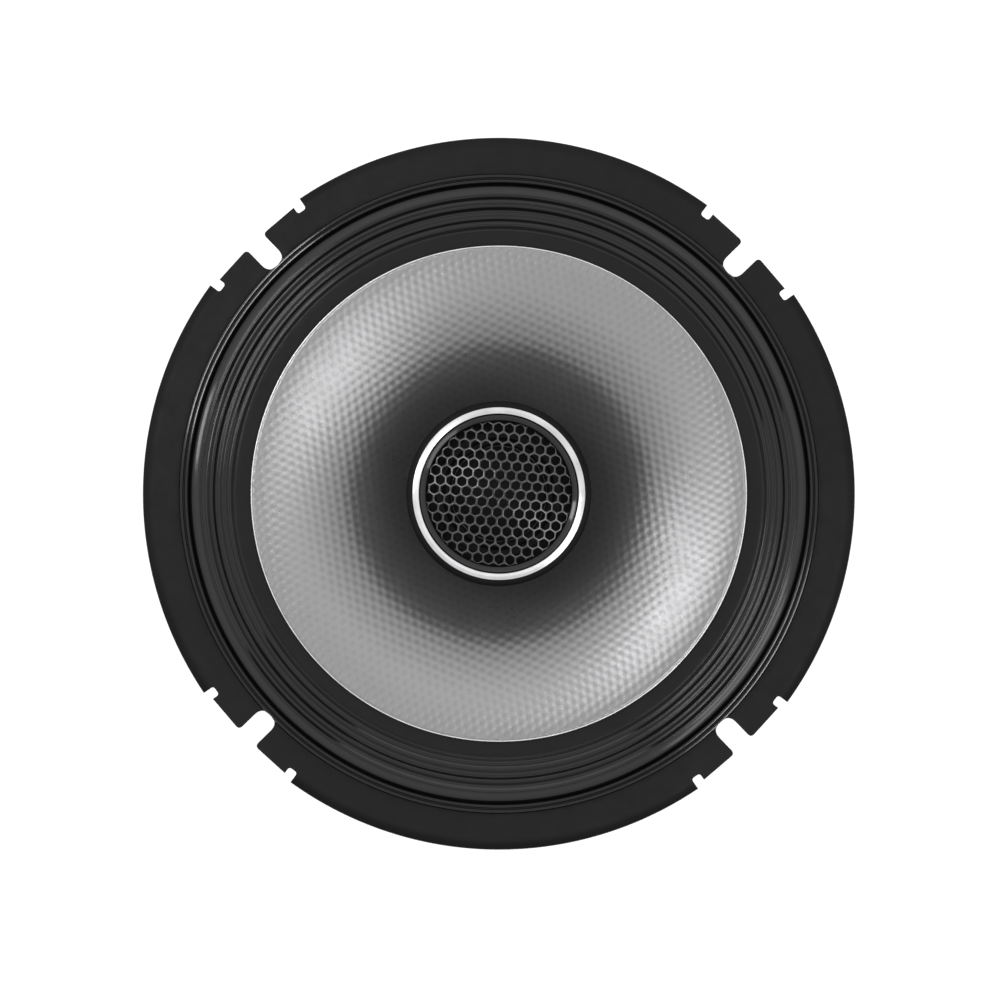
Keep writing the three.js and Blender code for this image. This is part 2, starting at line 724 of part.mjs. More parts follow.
// A flexible lead from a terminal's lug, through the window beside the spoke, to the back of the cone.
function tinselLead(side) {
  const points = [
    [LEAD_FACE, side * TERMINAL_OFFSET, 33.2],
    [LEAD_FACE - 1.0, side * (TERMINAL_OFFSET + 3.2), 33.6],
    [LEAD_FACE - 3.0, side * (TERMINAL_OFFSET + 6.4), 36.6],
    [LEAD_FACE - 7.0, side * (TERMINAL_OFFSET + 6.6), 40.4],
    [38, side * 12.4, 40.6],
    [31, side * 9.6, 38.6],
    [26, side * 7.8, 38.2],
    [23.4, side * 7.0, 38.8],
  ];
  return wire(points, LEAD_RADIUS, 6, 20);
}

// ---------------------------------------------------------------- assembly

const speaker = new THREE.Group();

piece("basket", basket(), "blackSteel", speaker);
piece("surround", surround(), "rubber", speaker);
piece("cone", cone(), "wovenCone", speaker);
piece("spider", spider(), "spiderCloth", speaker);
const former = tube(FORMER_INNER, FORMER_OUTER, FORMER_BOTTOM, FORMER_TOP, MEDIUM);
piece("voice_coil_former", former, "aluminium", speaker);
const winding = tube(FORMER_OUTER + 2 * SLIT, WINDING_OUTER, WINDING_BOTTOM, WINDING_TOP, MEDIUM);
piece("voice_coil_winding", winding, "copper", speaker);
piece("t_yoke", yoke(), "zincSteel", speaker);
piece("ferrite_magnet", magnet(), "ferrite", speaker);
piece("top_plate", topPlate(), "zincSteel", speaker);
SLOT_ANGLES.forEach((angle, i) => {
  piece(`basket_rivet_${i + 1}`, atAngle(plateRivet(), angle), "zincSteel", speaker);
});

piece("tweeter_post", post(), "aluminium", speaker);
piece("post_nut", postNut(), "zincSteel", speaker);
piece("tweeter_cup", tweeterCup(), "blackPlastic", speaker);
piece("tweeter_bezel", tweeterBezel(), "chrome", speaker);
piece("tweeter_inner_ring", tweeterInnerRing(), "blackPlastic", speaker);
const grille = domedShell(GRILLE_RADIUS, GRILLE_EDGE, GRILLE_RISE, GRILLE_THICKNESS, 4, MEDIUM);
piece("tweeter_grille", grille, "grilleSteel", speaker);
const frame = tube(FRAME_INNER, FRAME_OUTER, FRAME_BOTTOM, FRAME_TOP, MEDIUM);
piece("tweeter_frame", frame, "blackPlastic", speaker);
const dome = domedShell(DOME_RADIUS, DOME_BASE, DOME_RISE, DOME_THICKNESS, 4, SMALL);
piece("tweeter_dome", dome, "silkDome", speaker);
piece("tweeter_dome_surround", tweeterDomeSurround(), "rubber", speaker);
const tweeterCoil = tube(TWEETER_COIL.inner, TWEETER_COIL.outer, TWEETER_COIL.bottom, DOME_BASE - 0.1, SMALL);
piece("tweeter_voice_coil", tweeterCoil, "copper", speaker);
const poleCap = bar(POLE_CAP_RADIUS, POLE_CAP_BOTTOM, FRAME_BOTTOM, 0, 0, SMALL);
piece("tweeter_pole_cap", poleCap, "zincSteel", speaker);
const tweeterMagnet = bar(TWEETER_MAGNET_RADIUS, TWEETER_MAGNET_BOTTOM, POLE_CAP_BOTTOM, 0, 0, SMALL);
piece("tweeter_magnet", tweeterMagnet, "ferrite", speaker);
piece("tweeter_pot", tweeterPot(), "zincSteel", speaker);

const terminalSide = new THREE.Group();
terminalSide.rotation.z = radians(TERMINAL_ANGLE);
speaker.add(terminalSide);

piece("terminal_board", terminalBoard(), "phenolic", terminalSide);
piece("terminal_rivet_1", boardRivet(-1), "brass", terminalSide);
piece("terminal_rivet_2", boardRivet(1), "brass", terminalSide);
piece("terminal_tab_positive", terminalBlade(POSITIVE_WIDTH, -1), "brass", terminalSide);
piece("terminal_tab_negative", terminalBlade(NEGATIVE_WIDTH, 1), "brass", terminalSide);
piece("crossover_capacitor", capacitor(), "sleeveBlue", terminalSide);
piece("capacitor_foam_pad", capacitorPad(), "foam", terminalSide);
piece("capacitor_lead", capacitorLead(), "tinsel", terminalSide);
piece("tinsel_lead_positive", tinselLead(-1), "tinsel", terminalSide);
piece("tinsel_lead_negative", tinselLead(1), "tinsel", terminalSide);
piece("tweeter_lead_positive", tweeterLeadPositive(), "leadRed", terminalSide);
piece("tweeter_lead_negative", tweeterLeadNegative(), "leadBlack", terminalSide);

export default speaker;
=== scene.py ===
"""The looks of a 165 mm coaxial car speaker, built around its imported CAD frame. Metres, +Z along its axis."""
import json
import math

import bmesh
import bpy
import numpy as np
from mathutils import Matrix, Vector


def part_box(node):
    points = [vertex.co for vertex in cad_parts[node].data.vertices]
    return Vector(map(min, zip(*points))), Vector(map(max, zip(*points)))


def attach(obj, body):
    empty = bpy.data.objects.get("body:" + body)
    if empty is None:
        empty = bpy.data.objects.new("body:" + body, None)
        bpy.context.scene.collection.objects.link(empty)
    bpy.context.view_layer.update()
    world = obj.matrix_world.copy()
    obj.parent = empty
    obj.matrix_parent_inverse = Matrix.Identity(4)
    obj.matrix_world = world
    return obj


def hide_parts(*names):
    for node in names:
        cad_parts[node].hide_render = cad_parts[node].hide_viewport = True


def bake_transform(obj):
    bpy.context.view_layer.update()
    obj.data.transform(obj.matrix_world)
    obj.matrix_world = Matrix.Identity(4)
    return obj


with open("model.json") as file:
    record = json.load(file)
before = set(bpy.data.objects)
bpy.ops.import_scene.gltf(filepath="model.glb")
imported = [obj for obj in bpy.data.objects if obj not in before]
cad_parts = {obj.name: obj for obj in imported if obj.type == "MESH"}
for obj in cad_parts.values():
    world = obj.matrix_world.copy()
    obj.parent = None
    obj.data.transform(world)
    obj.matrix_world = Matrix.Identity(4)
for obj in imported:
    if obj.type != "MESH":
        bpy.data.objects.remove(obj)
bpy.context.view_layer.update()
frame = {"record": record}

# ---------------------------------------------------------------- driving dimensions

MM = 0.001
TO_MM = 1000
BASKET_BODY = "basket_body"
CONE_BODY = "cone_body"
DOME_BODY = "dome_body"

MOUNTS = {mount["name"]: Vector(mount["pos_m"]) for mount in frame["record"]["mounts"]}
FLANGE_TOP = MOUNTS["flange_front_face"].z / MM
SHEET = FLANGE_TOP - MOUNTS["flange_rear_face"].z / MM
BASKET_LOW, BASKET_HIGH = (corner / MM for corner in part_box("basket"))
FLANGE_RADIUS = 82.5
RIM_TOP = BASKET_HIGH.z
SEAT_TOP = FLANGE_TOP + 0.2
WALL_RADIUS = 67.9
LEDGE_TOP = 32.2
LEDGE_INNER = 34.4
LEDGE_OUTER = 43.5
PLATE_TOP = BASKET_LOW.z

SPOKE_ANGLES = (45, 135, 225, 315)
SLOT_WIDTH = 5.25
SLOT_BOTTOM = 73.6
SLOT_MOUTH_ROUND = 1.1
NOTCH_OFFSET = 9.25
NOTCH_WIDTH = 2.3
NOTCH_BOTTOM = 79.7
NOTCH_ROUND = 0.75
TAB_EDGE_AT_SLOT = 81.2
TAB_EDGE_AT_NOTCH = 81.6
CUT_REACH = 6
LIP_START = 79.0
LIP_DROP = 0.9
CREST_TILTS = [(0.18, 1.6), (0.82, 3.0), (1.0, 4.4)]  # a bead's top: share of its width, degrees down
CREST_FILLET = 0.07
SPOKE_RIB = {"height": 1.4, "half_angle": 5.5, "run_out": 4.0}

WINDOW_ANGLES = (0, 90, 180, 270)
WINDOW_HALF_ANGLE = 34
WINDOW_INNER = 44.0
WINDOW_OUTER = 62.0
WINDOW_ROUND = 4.0

CONE_EDGE_RADIUS = 57.4
CONE_NECK_RADIUS = 13.8
CONE_EDGE_HEIGHT = 54.0
CONE_DEPTH = 19.0
CONE_CURVE = 1.7
CONE_THICKNESS = 0.6
WEAVE_INSET = 0.25  # how far inside the cone's edge the woven sheet ends
CONE_BEAD = {"width": 0.35, "lift": 0.1, "height": 0.28}
WEAVE_PERIOD = 1.80
WEAVE_TURN = 8  # degrees from +X to the first set of fibres
SURROUND_BAND = 52.9  # height of the surround's flat inner band, at the middle of the sheet
BAND_EDGE = 60.9

# The motor's stack, by the height of each part's top.
YOKE_PLATE_TOP = 6.0
MAGNET_TOP = 20.0
FRONT_PLATE_TOP = 25.0
POLE_TOP = 25.5
POLE_BORE = 4.3
PLATE_RIVET_RADIUS = 24.0
PLATE_HOLE = 2.1

TERMINAL_ANGLE = 315
BOARD = {"inner": 36.5, "outer": 60.0, "half_width": 15.0, "corner": 3.0, "bottom": 29.1, "top": 30.7}
BOARD_RIVET_REACH = 39.7
BOARD_RIVET_OFFSET = 9.0
BOARD_HOLE = 1.3
TERMINAL_REACH = 54.0
TERMINAL_OFFSET = 8.0
TERMINAL_THICKNESS = 0.8
TERMINAL_TIP = 18.5
LEAD_RADIUS = 0.6
LEAD_FACE = TERMINAL_REACH - TERMINAL_THICKNESS / 2 - LEAD_RADIUS - 0.3
CAPACITOR = {"reach": 44.5, "height": 23.9, "radius": 4.0, "half_length": 10.5}

CAMERA_DISTANCE = 1.6
PICTURE_FILL = 0.7128  # the flange's share of the picture's width
CAMERA_SIDE = 0.00029
CAMERA_DOWN = 0.00145
CAMERA_ROLL = 0.9
ROUND = 360  # facets round the large parts
ROUND_SMALL = 180
SHEET_END = 0.35  # how far a sheet's rounded end stands out, as a share of its thickness

FLOOR_REACH = 3.0
FLOOR_HEIGHT = -0.2 * MM
FLOOR_GLOW = 0.22  # what it lights the speaker with from below
FLOOR_GLOW_SEEN = 0.56  # what the camera sees beyond that


def polar(radius, degrees, height=0.0):
    angle = math.radians(degrees)
    return Vector((radius * math.cos(angle), radius * math.sin(angle), height))


def connect(tree, target, value):
    """Gives a node's input a number, a colour or another node's output."""
    if isinstance(value, bpy.types.NodeSocket):
        tree.links.new(value, target)
    elif isinstance(value, tuple) and len(value) == 3 and target.type == "RGBA":
        target.default_value = (*value, 1)
    else:
        target.default_value = value


def add_node(tree, kind, inputs, **settings):
    made = tree.nodes.new(kind)
    for key, value in settings.items():
        setattr(made, key, value)
    for socket, value in inputs.items():
        connect(tree, made.inputs[socket], value)
    return made


def add_math(tree, operation, a, b=0.0, c=0.0):
    return add_node(tree, "ShaderNodeMath", {0: a, 1: b, 2: c}, operation=operation).outputs[0]


# ---------------------------------------------------------------- camera, light and floor

def make_camera():
    data = bpy.data.cameras.new("camera")
    camera = bpy.data.objects.new("camera", data)
    bpy.context.scene.collection.objects.link(camera)
    camera.location = (CAMERA_SIDE, -CAMERA_DOWN, FLANGE_TOP * MM + CAMERA_DISTANCE)
    camera.rotation_euler.z = math.radians(CAMERA_ROLL)
    picture_width = 2 * FLANGE_RADIUS * MM / PICTURE_FILL
    data.lens = data.sensor_width * CAMERA_DISTANCE / picture_width
    data.clip_end = 20
    bpy.context.scene.camera = camera


def softbox(name, azimuth, tilt, distance, size, radiance):
    """A rectangular light that faces the speaker. Its size is (across, along the tilt)."""
    data = bpy.data.lights.new(name, "AREA")
    data.shape = "RECTANGLE"
    data.size, data.size_y = size
    data.energy = radiance * math.pi * size[0] * size[1]
    light = bpy.data.objects.new(name, data)
    bpy.context.scene.collection.objects.link(light)
    away = Vector((0, 0, 1)) * math.cos(math.radians(tilt)) + polar(math.sin(math.radians(tilt)), azimuth)
    sideways = polar(1, azimuth + 90)
    upwards = away.cross(sideways)
    centre = Vector((0, 0, FLANGE_TOP * MM)) + away * distance
    turn = Matrix((sideways, upwards, away)).transposed().to_4x4()
    light.matrix_world = Matrix.Translation(centre) @ turn
    light.visible_camera = False


# Each softbox: name, azimuth, tilt from straight up, distance, size (across, along the tilt), brightness.
LIGHTS = [
    ("key_upper_left", 147, 24.5, 0.7, (0.16, 0.12), 4.5),
    ("key_lower_right", 328, 25.5, 1.3, (0.36, 0.22), 3.1),
    ("lamp_upper_left", 148, 13, 0.7, (0.12, 0.02), 16.0),
    ("lamp_lower_right", 328, 13, 1.3, (0.22, 0.035), 15.0),
    ("strip_left", 168, 36, 1.0, (0.14, 0.09), 6.5),
    ("strip_lower_right", 323, 36, 1.0, (0.38, 0.09), 2.6),
    ("fill_top", 90, 64, 1.2, (1.3, 0.35), 1.3),
    ("fill_left", 172, 64, 1.2, (1.0, 0.35), 0.9),
    ("fill_right", 8, 64, 1.2, (1.0, 0.35), 0.9),
]
# The studio's tent: its brightness at tilts from straight up, in degrees.
TENT = [(0, 0.60), (16, 0.80), (29, 1.32), (45, 0.62), (62, 0.12), (90, 0.06), (120, 0.35), (180, 0.35)]
TENT_TOP_SIDE = 0.2  # how much brighter the tent is towards +Y, and darker towards -Y


def make_lights():
    for light in LIGHTS:
        softbox(*light)
    world = bpy.data.worlds.new("studio")
    bpy.context.scene.world = world
    world.use_nodes = True
    tree = world.node_tree
    place = add_node(tree, "ShaderNodeTexCoord", {}).outputs["Generated"]
    axes = add_node(tree, "ShaderNodeSeparateXYZ", {0: place}).outputs
    ramp = add_node(tree, "ShaderNodeValToRGB", {0: add_math(tree, "MULTIPLY_ADD", axes["Z"], 0.5, 0.5)})
    stops = ramp.color_ramp.elements
    brightest = max(brightness for tilt, brightness in TENT)
    for i, (tilt, brightness) in enumerate(reversed(TENT)):
        stop = stops[i] if i < 2 else stops.new(1.0)
        stop.position = (1 + math.cos(math.radians(tilt))) / 2
        shade = brightness / brightest
        stop.color = (shade, shade, shade, 1)
    side = add_math(tree, "MULTIPLY_ADD", axes["Y"], TENT_TOP_SIDE * brightest, brightest)
    background = tree.nodes["Background"]
    connect(tree, background.inputs["Color"], ramp.outputs[0])
    connect(tree, background.inputs["Strength"], side)


def make_floor():
    """A pale floor that the camera sees as white, while it lights the speaker from below far less.

    From below it is clear, and the tent's light passes it, so the speaker's back can be looked at too.
    """
    signs = ((-1, -1), (1, -1), (1, 1), (-1, 1))
    corners = [(x * FLOOR_REACH, y * FLOOR_REACH, FLOOR_HEIGHT) for x, y in signs]
    mesh = bpy.data.meshes.new("floor")
    mesh.from_pydata(corners, [], [(0, 1, 2, 3)])
    floor = bpy.data.objects.new("floor", mesh)
    bpy.context.scene.collection.objects.link(floor)
    material = bpy.data.materials.new("pale_floor")
    material.use_nodes = True
    tree = material.node_tree
    ray = add_node(tree, "ShaderNodeLightPath", {}).outputs
    shader = tree.nodes["Principled BSDF"]
    glow = add_math(tree, "MULTIPLY_ADD", ray["Is Camera Ray"], FLOOR_GLOW_SEEN, FLOOR_GLOW)
    look = {
        "Base Color": (0.6, 0.6, 0.6), "Roughness": 0.9, "Specular IOR Level": 0.0,
        "Emission Color": (1, 1, 1), "Emission Strength": glow,
    }
    for socket, value in look.items():
        connect(tree, shader.inputs[socket], value)
    below = add_node(tree, "ShaderNodeNewGeometry", {}).outputs["Backfacing"]
    passed = add_math(tree, "MAXIMUM", below, ray["Is Shadow Ray"])
    clear = add_node(tree, "ShaderNodeBsdfTransparent", {}).outputs[0]
    choice = add_node(tree, "ShaderNodeMixShader", {0: passed, 1: shader.outputs[0], 2: clear})
    connect(tree, tree.nodes["Material Output"].inputs[0], choice.outputs[0])
    mesh.materials.append(material)


bpy.context.scene.view_settings.view_transform = "Standard"
make_camera()
make_lights()
make_floor()

# ---------------------------------------------------------------- outlines

def filleted(corners, steps=6):
    """A line through (x, y, fillet) corners, with each corner rounded to its fillet."""
    line = []
    for i, (x, y, fillet) in enumerate(corners):
        here = Vector((x, y))
        if fillet == 0 or i in (0, len(corners) - 1):
            line.append(here)
            continue
        before = Vector(corners[i - 1][:2]) - here
        after = Vector(corners[i + 1][:2]) - here
        reach = fillet / math.tan(before.angle(after) / 2)
        reach = min(reach, before.length * 0.49, after.length * 0.49)
        start = here + before.normalized() * reach
        end = here + after.normalized() * reach
        for k in range(steps + 1):
            t = k / steps
            line.append(start * (1 - t) ** 2 + here * 2 * t * (1 - t) + end * t * t)
    return [(point.x, point.y) for point in line]


def rounded_ring(corners, steps=5):
    """A closed outline of (x, y, fillet) corners, anticlockwise."""
    return filleted([corners[-1], *corners, corners[0]], steps)[1:-1]


def smoothed(points, per_span=8):
    """A smooth line through the given points (a centripetal spline)."""
    spots = [np.array(point, float) for point in points]
    spots = [2 * spots[0] - spots[1], *spots, 2 * spots[-1] - spots[-2]]
    line = []
    for a, b, c, d in zip(spots, spots[1:], spots[2:], spots[3:]):
        t0 = 0.0
        t1 = t0 + np.linalg.norm(b - a) ** 0.5
        t2 = t1 + np.linalg.norm(c - b) ** 0.5
        t3 = t2 + np.linalg.norm(d - c) ** 0.5
        for k in range(per_span):
            t = t1 + (t2 - t1) * k / per_span
            ab = a * (t1 - t) / (t1 - t0) + b * (t - t0) / (t1 - t0)
            bc = b * (t2 - t) / (t2 - t1) + c * (t - t1) / (t2 - t1)
            cd = c * (t3 - t) / (t3 - t2) + d * (t - t2) / (t3 - t2)
            abc = ab * (t2 - t) / (t2 - t0) + bc * (t - t0) / (t2 - t0)
            bcd = bc * (t3 - t) / (t3 - t1) + cd * (t - t1) / (t3 - t1)
            line.append(tuple(abc * (t2 - t) / (t2 - t1) + bcd * (t - t1) / (t2 - t1)))
    line.append(tuple(spots[-2]))
    return line


def sheet_sides(centre_line, thickness):
    """The lower and upper lines of a sheet of even thickness along a centre line that runs outwards."""
    points = np.array(centre_line, float)
    along = np.gradient(points, axis=0)
    along /= np.linalg.norm(along, axis=1)[:, None]
    normal = np.stack([along[:, 1], -along[:, 0]], axis=1)
    lower = points + normal * thickness / 2
    upper = points - normal * thickness / 2
    return list(map(tuple, lower)), list(map(tuple, upper)), along


def sheet_ring(centre_line, thickness):
    """The closed outline of such a sheet, with rounded ends."""
    lower, upper, along = sheet_sides(centre_line, thickness)
    end_cap = tuple(np.array(centre_line[-1]) + along[-1] * thickness * SHEET_END)
    start_cap = tuple(np.array(centre_line[0]) - along[0] * thickness * SHEET_END)
    return [*lower, end_cap, *upper[::-1], start_cap]


def rectangle(left, right, low, high):
    """An anticlockwise outline of (x, y) points."""
    return [(left, low), (right, low), (right, high), (left, high)]


def turned_outline(outline, degrees):
    angle = math.radians(degrees)
    c, s = math.cos(angle), math.sin(angle)
    return [(x * c - y * s, x * s + y * c) for x, y in outline]


# ---------------------------------------------------------------- mesh makers (they take millimetres)

def new_piece(name, vertices, faces, material, smooth_angle=35):
    mesh = bpy.data.meshes.new(name)
    mesh.from_pydata([(x * MM, y * MM, z * MM) for x, y, z in vertices], [], faces)
    mesh.validate()
    mesh.shade_smooth()
    mesh.set_sharp_from_angle(angle=math.radians(smooth_angle))
    if material:
        mesh.materials.append(material)
    obj = bpy.data.objects.new(name, mesh)
    bpy.context.scene.collection.objects.link(obj)
    return obj


def lathe_mesh(profile, facets):
    """A body turned about Z, from a closed outline or from one that starts and ends on the axis."""
    on_axis = profile[0][0] < 1e-6
    rows = profile[1:-1] if on_axis else profile
    angles = np.arange(facets) * 2 * math.pi / facets
    vertices = [(r * math.cos(a), r * math.sin(a), z) for r, z in rows for a in angles]
    faces = []
    for i in range(len(rows) - 1 if on_axis else len(rows)):
        low = i * facets
        high = ((i + 1) % len(rows)) * facets
        for k in range(facets):
            n = (k + 1) % facets
            faces.append((low + k, low + n, high + n, high + k))
    if on_axis:
        for row, height, top in ((0, profile[0][1], False), (len(rows) - 1, profile[-1][1], True)):
            centre = len(vertices)
            vertices.append((0, 0, height))
            for k in range(facets):
                a = row * facets + k
                b = row * facets + (k + 1) % facets
                faces.append((centre, a, b) if top else (centre, b, a))
    return vertices, faces


def lathe(name, profile, material, facets=ROUND, smooth_angle=35):
    vertices, faces = lathe_mesh(profile, facets)
    return new_piece(name, vertices, faces, material, smooth_angle)


def prism(name, outline, low, high, material=None):
    """An upright prism on an anticlockwise outline of (x, y) points."""
    count = len(outline)
    vertices = [(x, y, low) for x, y in outline] + [(x, y, high) for x, y in outline]
    sides = [(i, (i + 1) % count, count + (i + 1) % count, count + i) for i in range(count)]
    faces = [tuple(reversed(range(count))), tuple(range(count, 2 * count)), *sides]
    return new_piece(name, vertices, faces, material)


def rod(name, radius, low, high, x=0.0, y=0.0, facets=48, material=None):
    steps = [2 * math.pi * k / facets for k in range(facets)]
    outline = [(x + radius * math.cos(a), y + radius * math.sin(a)) for a in steps]
    return prism(name, outline, low, high, material)


def frames_along(points):
    """Each point of a path with two directions across it, which don't twist from point to point."""
    across = None
    for i, point in enumerate(points):
        along = (points[min(i + 1, len(points) - 1)] - points[max(i - 1, 0)]).normalized()
        across = along.orthogonal().normalized() if across is None else across
        across = (across - along * across.dot(along)).normalized()
        yield point, across, along.cross(across)


def tube_mesh(path, radius, sides=14, start=0):
    """A round wire along a path, with flat ends. Its faces count vertices from start."""
    points = [Vector(point) for point in path]
    turns = [2 * math.pi * k / sides for k in range(sides)]
    vertices = [
        tuple(point + (across * math.cos(a) + other * math.sin(a)) * radius)
        for point, across, other in frames_along(points) for a in turns
    ]
    faces = []
    for i in range(len(points) - 1):
        for k in range(sides):
            n = (k + 1) % sides
            low = start + i * sides
            faces.append((low + k, low + n, low + sides + n, low + sides + k))
    last = start + (len(points) - 1) * sides
    faces.append(tuple(start + k for k in reversed(range(sides))))
    faces.append(tuple(last + k for k in range(sides)))
    return vertices, faces


def wire(name, path, radius, material, sides=14):
    vertices, faces = tube_mesh(path, radius, sides)
    return new_piece(name, vertices, faces, material, 60)


def apply_modifiers(obj, smooth_angle=35):
    depsgraph = bpy.context.evaluated_depsgraph_get()
    final = bpy.data.meshes.new_from_object(obj.evaluated_get(depsgraph))
    obj.modifiers.clear()
    obj.data = final
    obj.data.shade_smooth()
    obj.data.set_sharp_from_angle(angle=math.radians(smooth_angle))


def joined(pieces):
    """One object made of separate closed pieces that don't touch."""
    shape = bmesh.new()
    for piece in pieces:
        shape.from_mesh(piece.data)
    first, *others = pieces
    shape.to_mesh(first.data)
    shape.free()
    for other in others:
        bpy.data.objects.remove(other)
    return first


def cut(obj, *groups):
    """Takes groups of cutters away from obj. The cutters of one group don't touch each other."""
    cutters = [joined(group) for group in groups]
    for cutter in cutters:
        modifier = obj.modifiers.new("cut", "BOOLEAN")
        modifier.operation = "DIFFERENCE"
        modifier.solver = "EXACT"
        modifier.object = cutter
    apply_modifiers(obj)
    for cutter in cutters:
        bpy.data.objects.remove(cutter)


def bevelled(obj, width, segments=2, angle=50):
    modifier = obj.modifiers.new("bevel", "BEVEL")
    modifier.width = width * MM
    modifier.segments = segments
    modifier.limit_method = "ANGLE"
    modifier.angle_limit = math.radians(angle)
    apply_modifiers(obj)
    return obj


def turned_by(obj, degrees):
    """Turns a finished mesh about the speaker's axis, such as the terminal side's pieces to their spoke."""
    obj.data.transform(Matrix.Rotation(math.radians(degrees), 4, "Z"))
    return obj


def shifted(obj, x, y, z):
    obj.data.transform(Matrix.Translation((x * MM, y * MM, z * MM)))
    return obj


def stand_for(obj, slot, *nodes, body=BASKET_BODY):
    """The finished piece rides on its body and takes the place of its CAD nodes. The slot is not used."""
    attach(obj, body)
    if nodes:
        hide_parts(*nodes)


def turned_part(name, corners, material, slot, node, body=BASKET_BODY, facets=ROUND, steps=5, sharp=35):
    """A finished lathe piece on an outline of (radius, height, fillet) corners."""
    piece = lathe(name, rounded_ring(corners, steps), material, facets, sharp)
    stand_for(piece, slot, node, body=body)


def blend_radially(obj, node):
    """Bakes the ring's placement into its mesh, and hides its CAD node.
    """
    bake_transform(obj)
    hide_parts(node)


# ---------------------------------------------------------------- materials

def grey(value, blue):
    return (value, value, blue)


class Finish:
    """A procedural material: one Principled shader and the textures that drive it. Sizes are in mm."""

    def __init__(self, name, color, roughness, metallic=0.0, specular=0.5):
        self.material = bpy.data.materials.new(name)
        self.material.use_nodes = True
        self.tree = self.material.node_tree
        self.shader = self.tree.nodes["Principled BSDF"]
        self.link(color, "Base Color")
        self.link(roughness, "Roughness")
        self.link(metallic, "Metallic")
        self.link(specular, "Specular IOR Level")
        self.place = self.tree.nodes.new("ShaderNodeTexCoord").outputs["Object"]

    def node(self, kind, inputs, **settings):
        return add_node(self.tree, kind, inputs, **settings)

    def link(self, value, socket):
        connect(self.tree, self.shader.inputs[socket], value)

    def math(self, operation, *values):
        return add_math(self.tree, operation, *values)

    def stretched(self, scale):
        return self.node("ShaderNodeMapping", {"Vector": self.place, "Scale": scale}).outputs[0]

    def noise(self, size, detail=4.0, roughness=0.55, place=None):
        """Noise whose features are about size millimetres across."""
        place = place or self.place
        inputs = {"Vector": place, "Scale": TO_MM / size, "Detail": detail, "Roughness": roughness}
        return self.node("ShaderNodeTexNoise", inputs).outputs["Fac"]

    def cells(self, size):
        inputs = {"Vector": self.place, "Scale": TO_MM / size}
        return self.node("ShaderNodeTexVoronoi", inputs).outputs["Distance"]

    def axes(self):
        return self.node("ShaderNodeSeparateXYZ", {0: self.place}).outputs

    def along(self, axis):
        """Distance from the origin along X, Y or Z, in millimetres."""
        return self.math("MULTIPLY", self.axes()[axis], TO_MM)

    def radius(self):
        """Distance from the speaker's axis, in millimetres."""
        axes = self.axes()
        y_squared = self.math("MULTIPLY", axes["Y"], axes["Y"])
        squared = self.math("MULTIPLY_ADD", axes["X"], axes["X"], y_squared)
        return self.math("MULTIPLY", self.math("SQRT", squared), TO_MM)

    def rings(self, width):
        """Uneven rings round the speaker's axis, about width millimetres wide."""
        inputs = {"W": self.radius(), "Scale": 1 / width, "Detail": 3.0}
        return self.node("ShaderNodeTexNoise", inputs, noise_dimensions="1D").outputs["Fac"]

    def wave(self, value, period):
        """A sine of a length in millimetres."""
        return self.math("SINE", self.math("MULTIPLY", value, 2 * math.pi / period))

    def blend(self, factor, low, high):
        """From the colour low to the colour high."""
        return self.node("ShaderNodeMix", {0: factor, 6: low, 7: high}, data_type="RGBA").outputs[2]

    def spread(self, value, low, high, from_low=0.3, from_high=0.7):
        """Maps a texture's range to low..high."""
        inputs = {0: value, 1: from_low, 2: from_high, 3: low, 4: high}
        return self.node("ShaderNodeMapRange", inputs).outputs[0]

    def colour(self, factor, low, high):
        """Colours the surface from low to high."""
        self.link(self.blend(factor, low, high), "Base Color")

    def rough(self, size, low, high, detail=4.0):
        """Varies the roughness from low to high, in patches about size millimetres across."""
        self.link(self.spread(self.noise(size, detail), low, high), "Roughness")

    def relief(self, height, depth, strength):
        """Raises the surface by depth millimetres where height is 1."""
        made = self.node("ShaderNodeBump", {"Height": height, "Strength": strength, "Distance": depth * MM})
        self.link(made.outputs[0], "Normal")


def powder_coat():
    """Satin black powder coat. On the crests of the rim's two beads it is glossier, and a lighter metallic grey
    there is a painted highlight.
    """
    finish = Finish("black_powder_coat", (0.006, 0.006, 0.0065), 0.46, specular=0.22)
    black = finish.blend(finish.spread(finish.noise(14), 0, 1), grey(0.0045, 0.005), grey(0.0065, 0.007))
    on_crest = finish.spread(finish.along("Z"), 0, 1, RIM_TOP - 0.32, RIM_TOP - 0.08)
    # Painted highlight: a lighter metallic colour on the bead crests, faintly patchy.
    painted_crest_highlight = finish.math("MULTIPLY", on_crest, finish.spread(finish.noise(1.4), 0.85, 1.0))
    finish.colour(painted_crest_highlight, black, grey(0.05, 0.052))
    finish.link(finish.math("MULTIPLY", painted_crest_highlight, 0.85), "Metallic")
    rough = finish.spread(finish.noise(3), 0.42, 0.54)
    polish = finish.math("SUBTRACT", 0.07, rough)
    finish.link(finish.math("MULTIPLY_ADD", on_crest, polish, rough), "Roughness")
    grain_strength = finish.math("MULTIPLY_ADD", on_crest, -0.6, 0.6)
    finish.relief(finish.noise(0.45, detail=3), 0.03, grain_strength)
    return finish.material


def moulded_rubber(name, specular, smooth, rough):
    finish = Finish(name, (0.005, 0.005, 0.0055), rough, specular=specular)
    finish.colour(finish.spread(finish.noise(9), 0, 1), grey(0.0035, 0.004), grey(0.006, 0.0065))
    finish.rough(2, smooth, rough)
    finish.relief(finish.noise(0.3, detail=2), 0.006, 0.5)
    return finish.material


